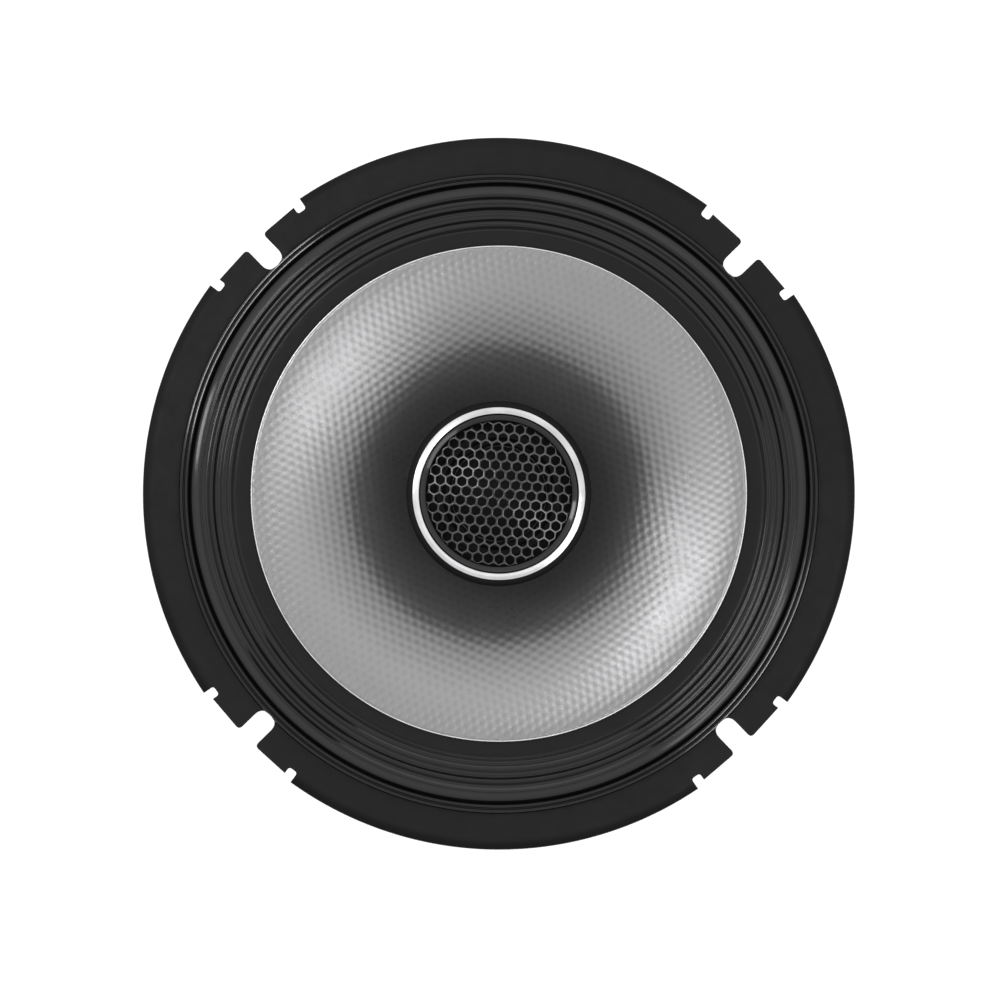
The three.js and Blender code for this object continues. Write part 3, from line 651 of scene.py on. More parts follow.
def woven_fibre():
    """Silver-grey fibre in three directions under clear resin: three sets of ridges 60 degrees apart."""
    finish = Finish("woven_fibre", (0.3, 0.3, 0.305), 0.27, metallic=0.8)
    axes = finish.axes()
    scale = 2 * math.pi / (WEAVE_PERIOD * MM)
    total = 0.0
    for k in range(3):
        angle = math.radians(WEAVE_TURN + 60 * k)
        along_x = finish.math("MULTIPLY", axes["X"], math.cos(angle) * scale)
        phase = finish.math("MULTIPLY_ADD", axes["Y"], math.sin(angle) * scale, along_x)
        total = finish.math("ADD", total, finish.math("COSINE", phase))
    weave = finish.spread(total, 0, 1, -1.5, 3.0)
    fibre = finish.noise(0.5, detail=3, place=finish.stretched((1, 0.25, 1)))
    tone = finish.math("MULTIPLY_ADD", fibre, 0.2, weave)
    finish.colour(finish.spread(tone, 0, 1, 0.1, 1.1), grey(0.325, 0.33), grey(0.295, 0.3))
    finish.rough(6, 0.27, 0.31)
    finish.relief(weave, 0.045, 0.8)
    return finish.material


def turned_metal(name, low, high, roughness, width=1.2, depth=0.006):
    """Bare or plated metal with fine turning marks round the speaker's axis and a cloudy tone."""
    finish = Finish(name, high, roughness, metallic=1.0)
    marks = finish.rings(width)
    cloud = finish.math("MULTIPLY_ADD", marks, 0.4, finish.math("MULTIPLY", finish.noise(5), 0.6))
    finish.colour(finish.spread(cloud, 0, 1), low, high)
    finish.link(finish.spread(marks, roughness * 0.85, roughness * 1.2), "Roughness")
    finish.relief(marks, depth, 0.5)
    return finish.material


def plain_metal(name, low, high, roughness, grain=0.5):
    finish = Finish(name, high, roughness, metallic=1.0)
    finish.colour(finish.spread(finish.noise(3), 0, 1), low, high)
    finish.rough(grain, roughness * 0.8, roughness * 1.3, detail=3)
    finish.relief(finish.noise(grain, detail=2), 0.006, 0.5)
    return finish.material


def smooth_plastic(name, low, high, roughness, grain=0.2, depth=0.01, size=5, specular=0.5):
    finish = Finish(name, high, roughness, specular=specular)
    finish.colour(finish.spread(finish.noise(size), 0, 1), low, high)
    finish.rough(1.5, roughness * 0.85, roughness * 1.2)
    finish.relief(finish.noise(grain, detail=2), depth, 0.5)
    return finish.material


def woven_cloth(name, low, high, roughness, pitch, depth, specular=0.5):
    """A plain weave: over and under in two directions."""
    finish = Finish(name, high, roughness, specular=specular)
    warp = finish.wave(finish.along("X"), pitch)
    weft = finish.wave(finish.along("Y"), pitch)
    cloth = finish.spread(finish.math("MULTIPLY", warp, weft), 0, 1, -1, 1)
    # Patchy tone, plus painted shade: darker where the weave dips.
    wear_and_hollow_shade = finish.math("MULTIPLY_ADD", finish.noise(4), 0.5, finish.math("MULTIPLY", cloth, 0.6))
    finish.colour(wear_and_hollow_shade, low, high)
    finish.rough(1, roughness * 0.85, roughness * 1.1)
    finish.relief(cloth, depth, 0.7)
    return finish.material


def ground_ferrite():
    finish = Finish("ground_ferrite", (0.03, 0.03, 0.032), 0.6, specular=0.4)
    speck = finish.noise(0.35, detail=5, roughness=0.8)
    finish.colour(finish.spread(speck, 0, 1), grey(0.016, 0.018), grey(0.05, 0.052))
    finish.rough(2, 0.5, 0.72)
    finish.relief(finish.math("MULTIPLY_ADD", finish.cells(0.9), 0.5, speck), 0.03, 0.5)
    return finish.material


def laminated_board():
    finish = Finish("laminated_board", (0.03, 0.02, 0.014), 0.55)
    fibres = finish.noise(0.5, detail=5, place=finish.stretched((1, 0.3, 1)))
    finish.colour(finish.spread(fibres, 0, 1), (0.018, 0.012, 0.009), (0.042, 0.028, 0.019))
    finish.rough(1.2, 0.45, 0.65)
    layers = finish.wave(finish.along("Z"), 0.22)
    finish.relief(finish.math("MULTIPLY_ADD", layers, 0.2, fibres), 0.015, 0.6)
    return finish.material


def foam():
    finish = Finish("closed_cell_foam", (0.03, 0.03, 0.03), 0.9, specular=0.2)
    bubbles = finish.cells(0.5)
    # Painted shade: the colour darkens towards each bubble's middle, where the surface dips.
    finish.colour(finish.spread(bubbles, 0, 1, 0.1, 0.7), grey(0.016, 0.017), grey(0.04, 0.04))
    finish.rough(1, 0.85, 0.98)
    finish.relief(bubbles, 0.08, 0.8)
    return finish.material


def wound_wire():
    """Close turns of enamelled copper, stacked along Z."""
    finish = Finish("wound_copper", (0.55, 0.22, 0.10), 0.3, metallic=1.0)
    turns = finish.wave(finish.along("Z"), 0.3)
    # Painted shade: the copper darkens in the creases between turns.
    finish.colour(finish.spread(turns, 0, 1, -1, 0), (0.18, 0.06, 0.03), (0.58, 0.24, 0.11))
    finish.rough(1, 0.25, 0.38)
    finish.relief(turns, 0.03, 0.8)
    return finish.material


BLACK = (grey(0.004, 0.0045), grey(0.007, 0.0075))
COAT = powder_coat()
RUBBER = moulded_rubber("surround_rubber", 0.46, 0.07, 0.12)
BAND_RUBBER = moulded_rubber("band_rubber", 0.22, 0.4, 0.5)
WEAVE = woven_fibre()
# Painted highlight: the cone's edge bead is pale metal, standing in for the light its cut edge catches.
CONE_EDGE_PAINTED_HIGHLIGHT = plain_metal("cone_edge_painted_highlight", grey(0.62, 0.63), grey(0.8, 0.81), 0.3)
CHROME = turned_metal("bezel_chrome", grey(0.52, 0.53), grey(0.78, 0.79), 0.2, width=0.35, depth=0.003)
GRILLE = plain_metal("grille_nickel", grey(0.07, 0.072), grey(0.1, 0.103), 0.09)
PLASTIC = smooth_plastic("tweeter_plastic", *BLACK, 0.42, specular=0.15)
GLOSSY_PLASTIC = smooth_plastic("ring_plastic", *BLACK, 0.07, grain=1.0, depth=0.0003)
SILK = woven_cloth("doped_silk", grey(0.003, 0.0035), grey(0.010, 0.011), 0.6, 0.5, 0.012, specular=0.15)
INSIDE = smooth_plastic("tweeter_inside", grey(0.004, 0.0045), grey(0.006, 0.0065), 0.65, specular=0.15)
SPIDER_CLOTH = woven_cloth("spider_cloth", (0.03, 0.024, 0.018), (0.085, 0.068, 0.05), 0.85, 0.9, 0.05)
ZINC = turned_metal("zinc_plate", grey(0.42, 0.43), grey(0.58, 0.57), 0.36)
ALUMINIUM = turned_metal("turned_aluminium", grey(0.5, 0.51), grey(0.62, 0.63), 0.3)
FERRITE = ground_ferrite()
COPPER = wound_wire()
BOARD_LAMINATE = laminated_board()
FOAM = foam()
BRASS = plain_metal("tab_brass", (0.48, 0.36, 0.18), (0.66, 0.53, 0.30), 0.3)
SOLDER = plain_metal("solder", grey(0.5, 0.52), grey(0.68, 0.69), 0.22, grain=1.2)
TINSEL = plain_metal("tinsel_braid", (0.34, 0.22, 0.11), (0.62, 0.46, 0.27), 0.34, grain=0.25)
SLEEVE = smooth_plastic("shrunk_sleeve", (0.010, 0.016, 0.040), (0.018, 0.026, 0.060), 0.2, 0.8, 0.012)
LEAD_RED = smooth_plastic("red_insulation", (0.22, 0.010, 0.008), (0.32, 0.018, 0.014), 0.42, 0.4, 0.01)
LEAD_BLACK = smooth_plastic("black_insulation", grey(0.008, 0.008), grey(0.014, 0.014), 0.42, 0.4, 0.01)
CEMENT = smooth_plastic("black_cement", grey(0.006, 0.006), grey(0.012, 0.012), 0.25, 1.5, 0.05, 2)

# ---------------------------------------------------------------- basket

def crest(inner, outer, height):
    """The top of one of the rim's beads, which falls a little towards its outer side."""
    points = [(inner, height, CREST_FILLET)]
    for share, tilt in CREST_TILTS:
        r, z, _ = points[-1]
        further = inner + share * (outer - inner)
        points.append((further, z - (further - r) * math.tan(math.radians(tilt)), 0))
    points[-1] = (*points[-1][:2], CREST_FILLET)
    return points


def basket_outline():
    """The pressed sheet from the hole in its bottom to its bent-back lip, as one closed outline."""
    half = SHEET / 2
    body = filleted([
        (15.2, PLATE_TOP + half, 0),
        (LEDGE_INNER - 1.8, PLATE_TOP + half, 1.4),
        (LEDGE_INNER, LEDGE_TOP - half, 1.4),
        (LEDGE_OUTER, LEDGE_TOP - half, 3.0),
        (WALL_RADIUS - 4.9, FLANGE_TOP - 8.5, 4.0),
        (WALL_RADIUS - 1.2, FLANGE_TOP - 5.6, 3.0),
        (WALL_RADIUS, SEAT_TOP - half, 1.2),
        (70.2, SEAT_TOP - half, 0),
    ])
    lower, upper, _ = sheet_sides(body, SHEET)
    valley = RIM_TOP - 0.55
    front = [
        (70.6, SEAT_TOP, 0), (71.75, SEAT_TOP, 0.15), (71.9, RIM_TOP - 0.35, 0.2),
        *crest(72.08, 72.58, RIM_TOP),
        (72.75, valley, 0.1), (73.05, valley, 0.1),
        *crest(73.18, 73.74, RIM_TOP - 0.05),
        (74.0, FLANGE_TOP, 0.25), (80.5, FLANGE_TOP, 4.0),
        (FLANGE_RADIUS - 0.15, FLANGE_TOP - 0.8, 0.7), (FLANGE_RADIUS, FLANGE_TOP - 1.6, 0.1),
        (FLANGE_RADIUS - 0.3, FLANGE_TOP - 2.3, 0),
    ]
    back = [
        (FLANGE_RADIUS - 0.9, FLANGE_TOP - 2.2, 0), (FLANGE_RADIUS - 1.2, FLANGE_TOP - SHEET - 0.4, 0.5),
        (79.6, FLANGE_TOP - SHEET, 3.0), (74.3, FLANGE_TOP - SHEET, 0.4), (73.2, FLANGE_TOP + 0.9, 0.3),
        (72.7, FLANGE_TOP + 0.9, 0.3), (71.5, SEAT_TOP - SHEET, 0.5), (70.6, SEAT_TOP - SHEET, 0),
    ]
    return [*lower, *filleted(back, 5)[::-1], *filleted(front, 5)[::-1], *upper[::-1]]


def shape_basket(vertices):
    """Flattens the lip where the tabs are, and presses a rib up each spoke."""
    rib_end = WALL_RADIUS - 2
    shaped = []
    for x, y, z in vertices:
        radius = math.hypot(x, y)
        bearing = math.degrees(math.atan2(y, x))
        from_spoke = min(abs((bearing - angle + 180) % 360 - 180) for angle in SPOKE_ANGLES)
        on_front = z > FLANGE_TOP - LIP_DROP and radius < FLANGE_RADIUS - 0.5
        if radius > LIP_START and from_spoke < NOTCH_OFFSET and on_front:
            z = FLANGE_TOP
        if LEDGE_OUTER < radius < rib_end:
            across = math.cos(math.pi / 2 * min(from_spoke / SPOKE_RIB["half_angle"], 1)) ** 2
            start = min((radius - LEDGE_OUTER) / SPOKE_RIB["run_out"], 1)
            end = min((rib_end - radius) / SPOKE_RIB["run_out"], 1)
            ends = math.sin(math.pi / 2 * start) * math.sin(math.pi / 2 * end)
            z -= SPOKE_RIB["height"] * across * ends
        shaped.append((x, y, z))
    return shaped


def flange_cutters(degrees):
    """Two groups: one screw slot with its tabs' edges, and the notches on its two sides."""
    low = FLANGE_TOP - CUT_REACH
    high = FLANGE_TOP + CUT_REACH
    far = FLANGE_RADIUS + CUT_REACH
    half = SLOT_WIDTH / 2
    turn = math.radians(NOTCH_OFFSET)
    edge = polar(TAB_EDGE_AT_NOTCH, NOTCH_OFFSET)
    slot_and_tabs = [
        (SLOT_BOTTOM, half, half), (SLOT_BOTTOM, -half, half), (TAB_EDGE_AT_SLOT, -half, SLOT_MOUTH_ROUND),
        (edge.x, -edge.y, 0), (far * math.cos(turn), -far * math.sin(turn), 0),
        (far * math.cos(turn), far * math.sin(turn), 0), (edge.x, edge.y, 0),
        (TAB_EDGE_AT_SLOT, half, SLOT_MOUTH_ROUND),
    ]
    half = NOTCH_WIDTH / 2
    notch = [
        (NOTCH_BOTTOM, half, NOTCH_ROUND), (NOTCH_BOTTOM, -half, NOTCH_ROUND),
        (far, -half, 0), (far, half, 0),
    ]
    shapes = [(slot_and_tabs, 0), (notch, -NOTCH_OFFSET), (notch, NOTCH_OFFSET)]
    cutters = [
        prism(f"cutter_{degrees}_{i}", turned_outline(rounded_ring(shape, 8), degrees + offset), low, high)
        for i, (shape, offset) in enumerate(shapes)
    ]
    return cutters[:1], cutters[1:]


def window_cutter(degrees):
    """A window's outline: two arcs round the axis, joined by rounded corners. Half of it is mirrored."""
    half = math.radians(WINDOW_HALF_ANGLE)
    steps = 6

    def at(radius, angle):
        return Vector((radius * math.cos(angle), radius * math.sin(angle)))

    def arc(radius, start, end):
        return [at(radius, start + (end - start) * k / (2 * steps)) for k in range(2 * steps + 1)]

    def corner(start, tip, end):
        shares = [k / steps for k in range(1, steps)]
        return [start * (1 - t) ** 2 + tip * 2 * t * (1 - t) + end * t * t for t in shares]

    outer = arc(WINDOW_OUTER, 0, half - WINDOW_ROUND / WINDOW_OUTER)
    inner = arc(WINDOW_INNER, half - WINDOW_ROUND / WINDOW_INNER, 0)
    side_out = at(WINDOW_OUTER - WINDOW_ROUND, half)
    side_in = at(WINDOW_INNER + WINDOW_ROUND, half)
    upper = [
        *outer, *corner(outer[-1], at(WINDOW_OUTER, half), side_out), side_out,
        side_in, *corner(side_in, at(WINDOW_INNER, half), inner[0]), *inner,
    ]
    outline = [(x, y) for x, y in upper] + [(x, -y) for x, y in reversed(upper[1:-1])]
    return prism(f"window_{degrees}", turned_outline(outline, degrees), LEDGE_TOP - 4, FLANGE_TOP - 3)


def make_basket():
    vertices, faces = lathe_mesh(basket_outline(), ROUND)
    basket = new_piece("pressed_basket", shape_basket(vertices), faces, COAT)
    openings = [window_cutter(degrees) for degrees in WINDOW_ANGLES]
    notches = []
    for degrees in SPOKE_ANGLES:
        slot_and_tabs, pair = flange_cutters(degrees)
        openings += slot_and_tabs
        notches += pair
        spot = polar(PLATE_RIVET_RADIUS, degrees)
        openings.append(rod(f"rivet_hole_{degrees}", PLATE_HOLE, PLATE_TOP - 2, PLATE_TOP + 4, *spot.xy))
    for side in (-1, 1):
        spot = turned_outline([(BOARD_RIVET_REACH, side * BOARD_RIVET_OFFSET)], TERMINAL_ANGLE)[0]
        openings.append(rod(f"board_hole_{side}", BOARD_HOLE, LEDGE_TOP - 4, LEDGE_TOP + 2, *spot))
    cut(basket, openings, notches)
    stand_for(basket, "basket_steel", "basket")


make_basket()

# ---------------------------------------------------------------- surround, cone and spider

def make_surround():
    """Heights in the line are above the flat band that is glued under the cone's edge."""
    line = [
        (55.8, 0), (58.5, 0), (60.7, 0.02), (61.2, -0.12), (61.75, 0.14), (62.35, 0.42), (62.8, 0.30),
        (63.1, 0.2), (63.45, 0.42), (63.8, 0.64), (64.25, 0.50), (64.75, 0.34), (65.25, 0.42), (65.62, 0.32),
        (66.1, 0.66), (66.55, 1.0), (67.0, 0.86), (67.5, 0.64), (68.05, 0.56), (68.55, 0.86), (69.0, 1.12),
        (69.5, 1.06), (70.1, 0.92), (70.7, 0.75), (71.2, 0.56), (71.5, 0.36),
    ]
    centre_line = smoothed([(r, SURROUND_BAND + z) for r, z in line], 5)
    surround = lathe("ribbed_surround", sheet_ring(centre_line, 0.6), RUBBER, smooth_angle=60)
    surround.data.materials.append(BAND_RUBBER)
    for face in surround.data.polygons:
        if face.center.xy.length < BAND_EDGE * MM:
            face.material_index = 1
    blend_radially(surround, "surround")


def cone_height(radius):
    share = (CONE_EDGE_RADIUS - radius) / (CONE_EDGE_RADIUS - CONE_NECK_RADIUS)
    return CONE_EDGE_HEIGHT - CONE_DEPTH * max(share, 0.0) ** CONE_CURVE


def make_cone():
    rows = 70
    span = CONE_EDGE_RADIUS - WEAVE_INSET - CONE_NECK_RADIUS
    radii = [CONE_NECK_RADIUS + span * k / rows for k in range(rows + 1)]
    profile = sheet_ring([(r, cone_height(r)) for r in radii], CONE_THICKNESS)
    piece = lathe("woven_cone", profile, WEAVE, smooth_angle=60)
    stand_for(piece, "cone_weave", "cone", body=CONE_BODY)
    # The edge bead: its pale metal colour is a painted highlight.
    outer = CONE_EDGE_RADIUS
    inner = outer - CONE_BEAD["width"]
    low = CONE_EDGE_HEIGHT + CONE_BEAD["lift"]
    top = low + CONE_BEAD["height"]
    edge = [(inner, low, 0.1), (outer, low, 0.1), (outer, top, 0.14), (inner, top, 0.14)]
    piece = lathe("cone_edge", rounded_ring(edge), CONE_EDGE_PAINTED_HIGHLIGHT, smooth_angle=60)
    stand_for(piece, "cone_weave", body=CONE_BODY)


def make_spider():
    land = LEDGE_TOP + 0.25
    line = [(13.45, land), (15.2, land), (16.2, land + 0.1)]
    rolls = 5
    steps = rolls * 8
    first, last = 17.0, 33.6
    middle, swing = 0.55, 1.1
    for k in range(steps + 1):
        share = k / steps
        wave = math.sin(2 * math.pi * rolls * share)
        line.append((first + (last - first) * share, land + middle + swing * wave))
    line += [(34.6, land + 0.05), (36.0, land), (38.0, land)]
    spider = lathe("pressed_spider", sheet_ring(line, 0.45), SPIDER_CLOTH, smooth_angle=60)
    blend_radially(spider, "spider")


make_surround()
make_cone()
make_spider()

# ---------------------------------------------------------------- motor

def make_motor():
    yoke = [
        (8.6, 0, 0.2), (37.7, 0, 0.5), (38.5, 0.8, 0.5), (38.5, YOKE_PLATE_TOP, 0.1),
        (12.2, YOKE_PLATE_TOP, 0.6), (12.2, POLE_TOP, 0.4), (POLE_BORE, POLE_TOP, 0.3),
        (POLE_BORE, YOKE_PLATE_TOP, 0), (8.6, YOKE_PLATE_TOP, 0.3),
    ]
    piece = lathe("motor_yoke", rounded_ring(yoke), ZINC)
    groove = turned_outline(rectangle(7.6, 40, -2.2, 2.2), TERMINAL_ANGLE)
    cut(piece, [prism("groove", groove, -1, 2.4)])
    stand_for(piece, "plated_steel", "t_yoke")
    low, high = YOKE_PLATE_TOP, MAGNET_TOP
    magnet = [(20, low, 0.3), (42.5, low, 0.9), (42.5, high, 0.9), (20, high, 0.3)]
    turned_part("ring_magnet", magnet, FERRITE, "ferrite", "ferrite_magnet")
    low, high = MAGNET_TOP, FRONT_PLATE_TOP
    plate = [(14.2, low, 0.2), (38, low, 0.4), (38, high, 0.4), (14.2, high, 0.2)]
    turned_part("front_plate", plate, ZINC, "plated_steel", "top_plate")
    head = filleted([(3.2, 26.2, 0), (3.1, 26.7, 0.3), (1.9, 27.25, 0.8), (0.7, 27.3, 0)])
    rivet = [(0, 20.5), (1.8, 20.5), (1.8, 26.2), *head, (0, 27.1)]
    for i, degrees in enumerate(SPOKE_ANGLES):
        spot = polar(PLATE_RIVET_RADIUS, degrees)
        piece = shifted(lathe(f"plate_rivet_{i + 1}", rivet, ZINC, facets=48), spot.x, spot.y, 0)
        stand_for(piece, "plated_steel", f"basket_rivet_{i + 1}")


def make_voice_coil():
    inner, outer = 12.7, 13.1
    former = [(inner, 14, 0), (outer, 14, 0), (outer, 36.5, 0), (inner, 36.5, 0)]
    turned_part("coil_former", former, ALUMINIUM, "coil_former", "voice_coil_former", CONE_BODY, ROUND_SMALL)
    steps = 40 * 4  # forty turns
    low, length = 16.5, 12.0
    inside, outside, swell = 13.15, 13.58, 0.12
    winding = [(inside, low)]
    for k in range(steps + 1):
        bulge = abs(math.sin(math.pi * k / 4))
        winding.append((outside + swell * bulge, low + length * k / steps))
    winding.append((inside, low + length))
    piece = lathe("coil_winding", winding, COPPER, facets=96, smooth_angle=80)
    stand_for(piece, "copper_wire", "voice_coil_winding", body=CONE_BODY)


def make_post():
    post = [
        (1.9, 2.75, 0.2), (4.0, 2.75, 0.5), (4.0, POLE_TOP, 0), (9.0, POLE_TOP, 0.3), (9.0, 27.1, 0.4),
        (5.5, 28.1, 1.0), (5.5, 45.9, 0.4), (1.9, 45.9, 0.3),
    ]
    turned_part("tweeter_stem", post, ALUMINIUM, "post_aluminium", "tweeter_post", facets=ROUND_SMALL)
    corners = [polar(7.5, 60 * k) for k in range(6)]
    nut = prism("stem_nut", [(corner.x, corner.y) for corner in corners], 3.25, YOKE_PLATE_TOP, ZINC)
    chamfer = [(7.0, 2.0), (9.5, 2.0), (9.5, 4.2), (7.6, 3.9), (6.5, 3.25)]
    cut(nut, [lathe("nut_chamfer", chamfer, None, facets=96), rod("nut_bore", POLE_BORE, 3, 6.5)])
    stand_for(nut, "plated_steel", "post_nut")


make_motor()
make_voice_coil()
make_post()

# ---------------------------------------------------------------- tweeter

BEZEL_INNER = 18.4
BEZEL_OUTER = 19.9
BEZEL_BOTTOM = 58.5
BEZEL_TOP = 62.3
RING_INNER = 16.9
RING_OUTER = 18.15
RING_TOP = 61.5
GRILLE_RADIUS = 16.75
GRILLE_EDGE = 59.9
GRILLE_RISE = 2.9
GRILLE_PITCH = 2.49
GRILLE_WEB = 0.42
GRILLE_CROWN = 0.05
GRILLE_TURN = -3.5


def make_tweeter_front():
    cup = [
        (5.8, 41, 0.3), (8.0, 41, 0.6), (8.0, 45.2, 1.5), (15.5, 46.0, 3.0), (19.0, 48.5, 3.0),
        (20.4, 53.0, 3.0), (21.4, 58.6, 2.0), (21.4, 61.3, 0.9), (19.97, 61.9, 0.25),
        (19.97, BEZEL_BOTTOM, 0), (18.35, BEZEL_BOTTOM, 0), (18.35, 55, 0), (17.2, 55, 0),
        (17.2, 48.9, 0.5), (15.7, 47.4, 0.5), (2.2, 47.4, 0), (2.2, 46.2, 0), (5.8, 46.2, 0),
    ]
    turned_part("tweeter_housing", cup, PLASTIC, "tweeter_plastic", "tweeter_cup")
    middle = (BEZEL_INNER + BEZEL_OUTER) / 2
    shoulder = BEZEL_TOP - 0.2
    bezel = [
        (BEZEL_INNER, BEZEL_BOTTOM, 0.2), (BEZEL_OUTER, BEZEL_BOTTOM, 0.2), (BEZEL_OUTER, shoulder, 0.1),
        (middle, BEZEL_TOP + 0.02, 0.25), (BEZEL_INNER, shoulder, 0.1),
    ]
    turned_part("bright_bezel", bezel, CHROME, "bezel_chrome", "tweeter_bezel", steps=8)
    ring = [
        (RING_INNER, 56.2, 0), (RING_OUTER, 56.2, 0), (RING_OUTER, RING_TOP, 0.12),
        (RING_OUTER - 0.1, RING_TOP, 0.12), (RING_INNER, RING_TOP - 0.37, 0.12),
    ]
    turned_part("inner_ring", ring, GLOSSY_PLASTIC, "tweeter_plastic", "tweeter_inner_ring", sharp=20)


def grille_height(radius):
    return GRILLE_EDGE + GRILLE_RISE * (1 - (radius / GRILLE_RADIUS) ** 2)


def make_grille():
    """A thin domed sheet of hexagon holes: each cell is a rounded web between its hexagon and its hole."""
    thickness = 0.5
    roundest = 0.4  # how round a hole's corners are, where 1 is a circle
    row_height = GRILLE_PITCH * math.sqrt(3) / 2
    places = {}
    points = []
    faces = []

    def vertex(x, y, lift):
        radius = math.hypot(x, y)
        if radius > GRILLE_RADIUS:
            x, y, radius = x * GRILLE_RADIUS / radius, y * GRILLE_RADIUS / radius, GRILLE_RADIUS
        key = (round(x, 3), round(y, 3), round(lift, 3))
        if key not in places:
            places[key] = len(points)
            points.append((x, y, grille_height(radius) + lift))
        return places[key]

    def hexagon(cx, cy, apothem, roundness):
        """Twelve points, corners and middles of sides, with the corners drawn in towards a circle."""
        spots = []
        for k in range(12):
            corner = apothem / math.cos(math.radians(30)) if k % 2 == 0 else apothem
            spot = polar(corner * (1 - roundness) + apothem * roundness, 30 * k + 30)
            spots.append((cx + spot.x, cy + spot.y))
        return turned_outline(spots, GRILLE_TURN)

    half = GRILLE_PITCH / 2
    web = GRILLE_WEB / 2
    loops = []
    for degrees in (0, 18, 36, 54, 72, 90):
        turn = math.radians(degrees)
        reach = web * math.sin(turn)
        lift = thickness - GRILLE_CROWN * (1 - math.cos(turn))
        loops.append((half - reach, roundest * math.sin(turn), lift))
    loops += [(half - web, roundest, 0.15), (half - web * 0.6, roundest / 2, 0.0), (half, 0.0, 0.0)]
    rows = int(GRILLE_RADIUS / row_height) + 2
    for j in range(-rows, rows + 1):
        for i in range(-rows, rows + 1):
            cx = (i + 0.5 * (j % 2)) * GRILLE_PITCH
            cy = j * row_height
            if math.hypot(cx, cy) > GRILLE_RADIUS + 0.45 * GRILLE_PITCH:
                continue
            rings = [[vertex(x, y, lift) for x, y in hexagon(cx, cy, a, r)] for a, r, lift in loops]
            for low, high in zip(rings, rings[1:]):
                for k in range(12):
                    n = (k + 1) % 12
                    face = (low[k], low[n], high[n], high[k])
                    if len(set(face)) == 4:
                        faces.append(face)
    grille = new_piece("hex_grille", points, faces, GRILLE, smooth_angle=70)
    stand_for(grille, "grille_steel", "tweeter_grille")


def make_dome():
    radius, base, rise, thickness = 10.9, 56.4, 3.6, 0.35
    line = [(radius * k / 24, base + rise * (1 - (k / 24) ** 2)) for k in range(25)]
    over = [(r, z + thickness) for r, z in reversed(line)]
    dome = lathe("silk_dome", [*line, *over], SILK, facets=ROUND_SMALL, smooth_angle=60)
    stand_for(dome, "dome_silk", "tweeter_dome", body=DOME_BODY)
    centre_line = smoothed([
        (11.25, 56.7), (11.5, 57.3), (12.0, 57.65), (12.5, 57.3), (12.9, 56.6), (13.6, 56.5), (14.5, 56.5),
    ], 6)
    surround = lathe("tweeter_roll", sheet_ring(centre_line, 0.3), SILK, facets=ROUND_SMALL, smooth_angle=60)
    blend_radially(surround, "tweeter_dome_surround")


def finish_hidden_nodes():
    """The tweeter's inner parts keep their CAD shapes, which only show through the grille's holes."""
    finishes = {
        "tweeter_frame": INSIDE, "tweeter_voice_coil": COPPER, "tweeter_pole_cap": ZINC,
        "tweeter_magnet": FERRITE, "tweeter_pot": ZINC,
    }
    for node, material in finishes.items():
        bpy.data.objects[node].data.materials[0] = material


make_tweeter_front()
make_grille()
make_dome()
finish_hidden_nodes()

# ---------------------------------------------------------------- terminals and wiring

# These pieces are drawn with the terminal spoke along +X, then turned to their place.

def at_terminal(obj, slot, *nodes, body=BASKET_BODY):
    stand_for(turned_by(obj, TERMINAL_ANGLE), slot, *nodes, body=body)


def make_board():
    inner, outer, half, corner = BOARD["inner"], BOARD["outer"], BOARD["half_width"], BOARD["corner"]
    outline = [(inner, -half, corner), (outer, -half, corner), (outer, half, corner), (inner, half, corner)]
    board = prism("terminal_plate", rounded_ring(outline, 8), BOARD["bottom"], BOARD["top"], BOARD_LAMINATE)
    cutters = []
    for side in (-1, 1):
        y = side * TERMINAL_OFFSET
        gap = TERMINAL_THICKNESS / 2 + 0.2
        slot = rectangle(TERMINAL_REACH - gap, TERMINAL_REACH + gap, y - 1.75, y + 1.75)
        cutters.append(prism(f"board_slot_{side}", slot, 28, 32))
        across = side * BOARD_RIVET_OFFSET
        cutters.append(rod(f"board_rivet_hole_{side}", 1.2, 28, 32, BOARD_RIVET_REACH, across))
    cut(board, cutters)
    at_terminal(bevelled(board, 0.15), "board_phenolic", "terminal_board")
    body = filleted([
        (0.5, 28.3, 0), (1.5, 28.3, 0.3), (1.9, 28.8, 0), (1.0, 28.8, 0),
        (1.0, 32.5, 0), (1.9, 32.5, 0), (1.5, 33.0, 0.3), (0.5, 33.0, 0),
    ])
    for i, side in enumerate((-1, 1)):
        piece = lathe(f"board_rivet_{i + 1}", [(0, 28.5), *body, (0, 32.8)], BRASS, facets=40)
        shifted(piece, BOARD_RIVET_REACH, side * BOARD_RIVET_OFFSET, 0)
        at_terminal(piece, "terminal_brass", f"terminal_rivet_{i + 1}")


def make_blade(name, width, side, node):
    half = width / 2
    wide = half + 0.8
    neck = 1.5
    shoulder = BOARD["bottom"] - 0.3
    outline = [
        (-half, TERMINAL_TIP, 1.0), (half, TERMINAL_TIP, 1.0), (half, shoulder - 1.4, 0.3),
        (wide, shoulder - 1.4, 0.2), (wide, shoulder, 0.2), (neck, shoulder, 0), (neck, 34.2, 0.6),
        (-neck, 34.2, 0.6), (-neck, shoulder, 0), (-wide, shoulder, 0.2), (-wide, shoulder - 1.4, 0.2),
        (-half, shoulder - 1.4, 0.3),
    ]
    thick = TERMINAL_THICKNESS / 2
    blade = prism(name, rounded_ring(outline, 4), -thick, thick, BRASS)
    cut(blade, [rod("tab_hole", 0.8, -1, 1, 0, TERMINAL_TIP + 4.2), rod("lug_hole", 0.55, -1, 1, 0, 32.9)])
    bevelled(blade, 0.14)
    # The outline's x becomes width along Y and its y becomes height along Z.
    blade.data.transform(Matrix.Rotation(math.pi / 2, 4, "Z") @ Matrix.Rotation(math.pi / 2, 4, "X"))
    shifted(blade, TERMINAL_REACH, side * TERMINAL_OFFSET, 0)
    at_terminal(blade, "terminal_brass", node)


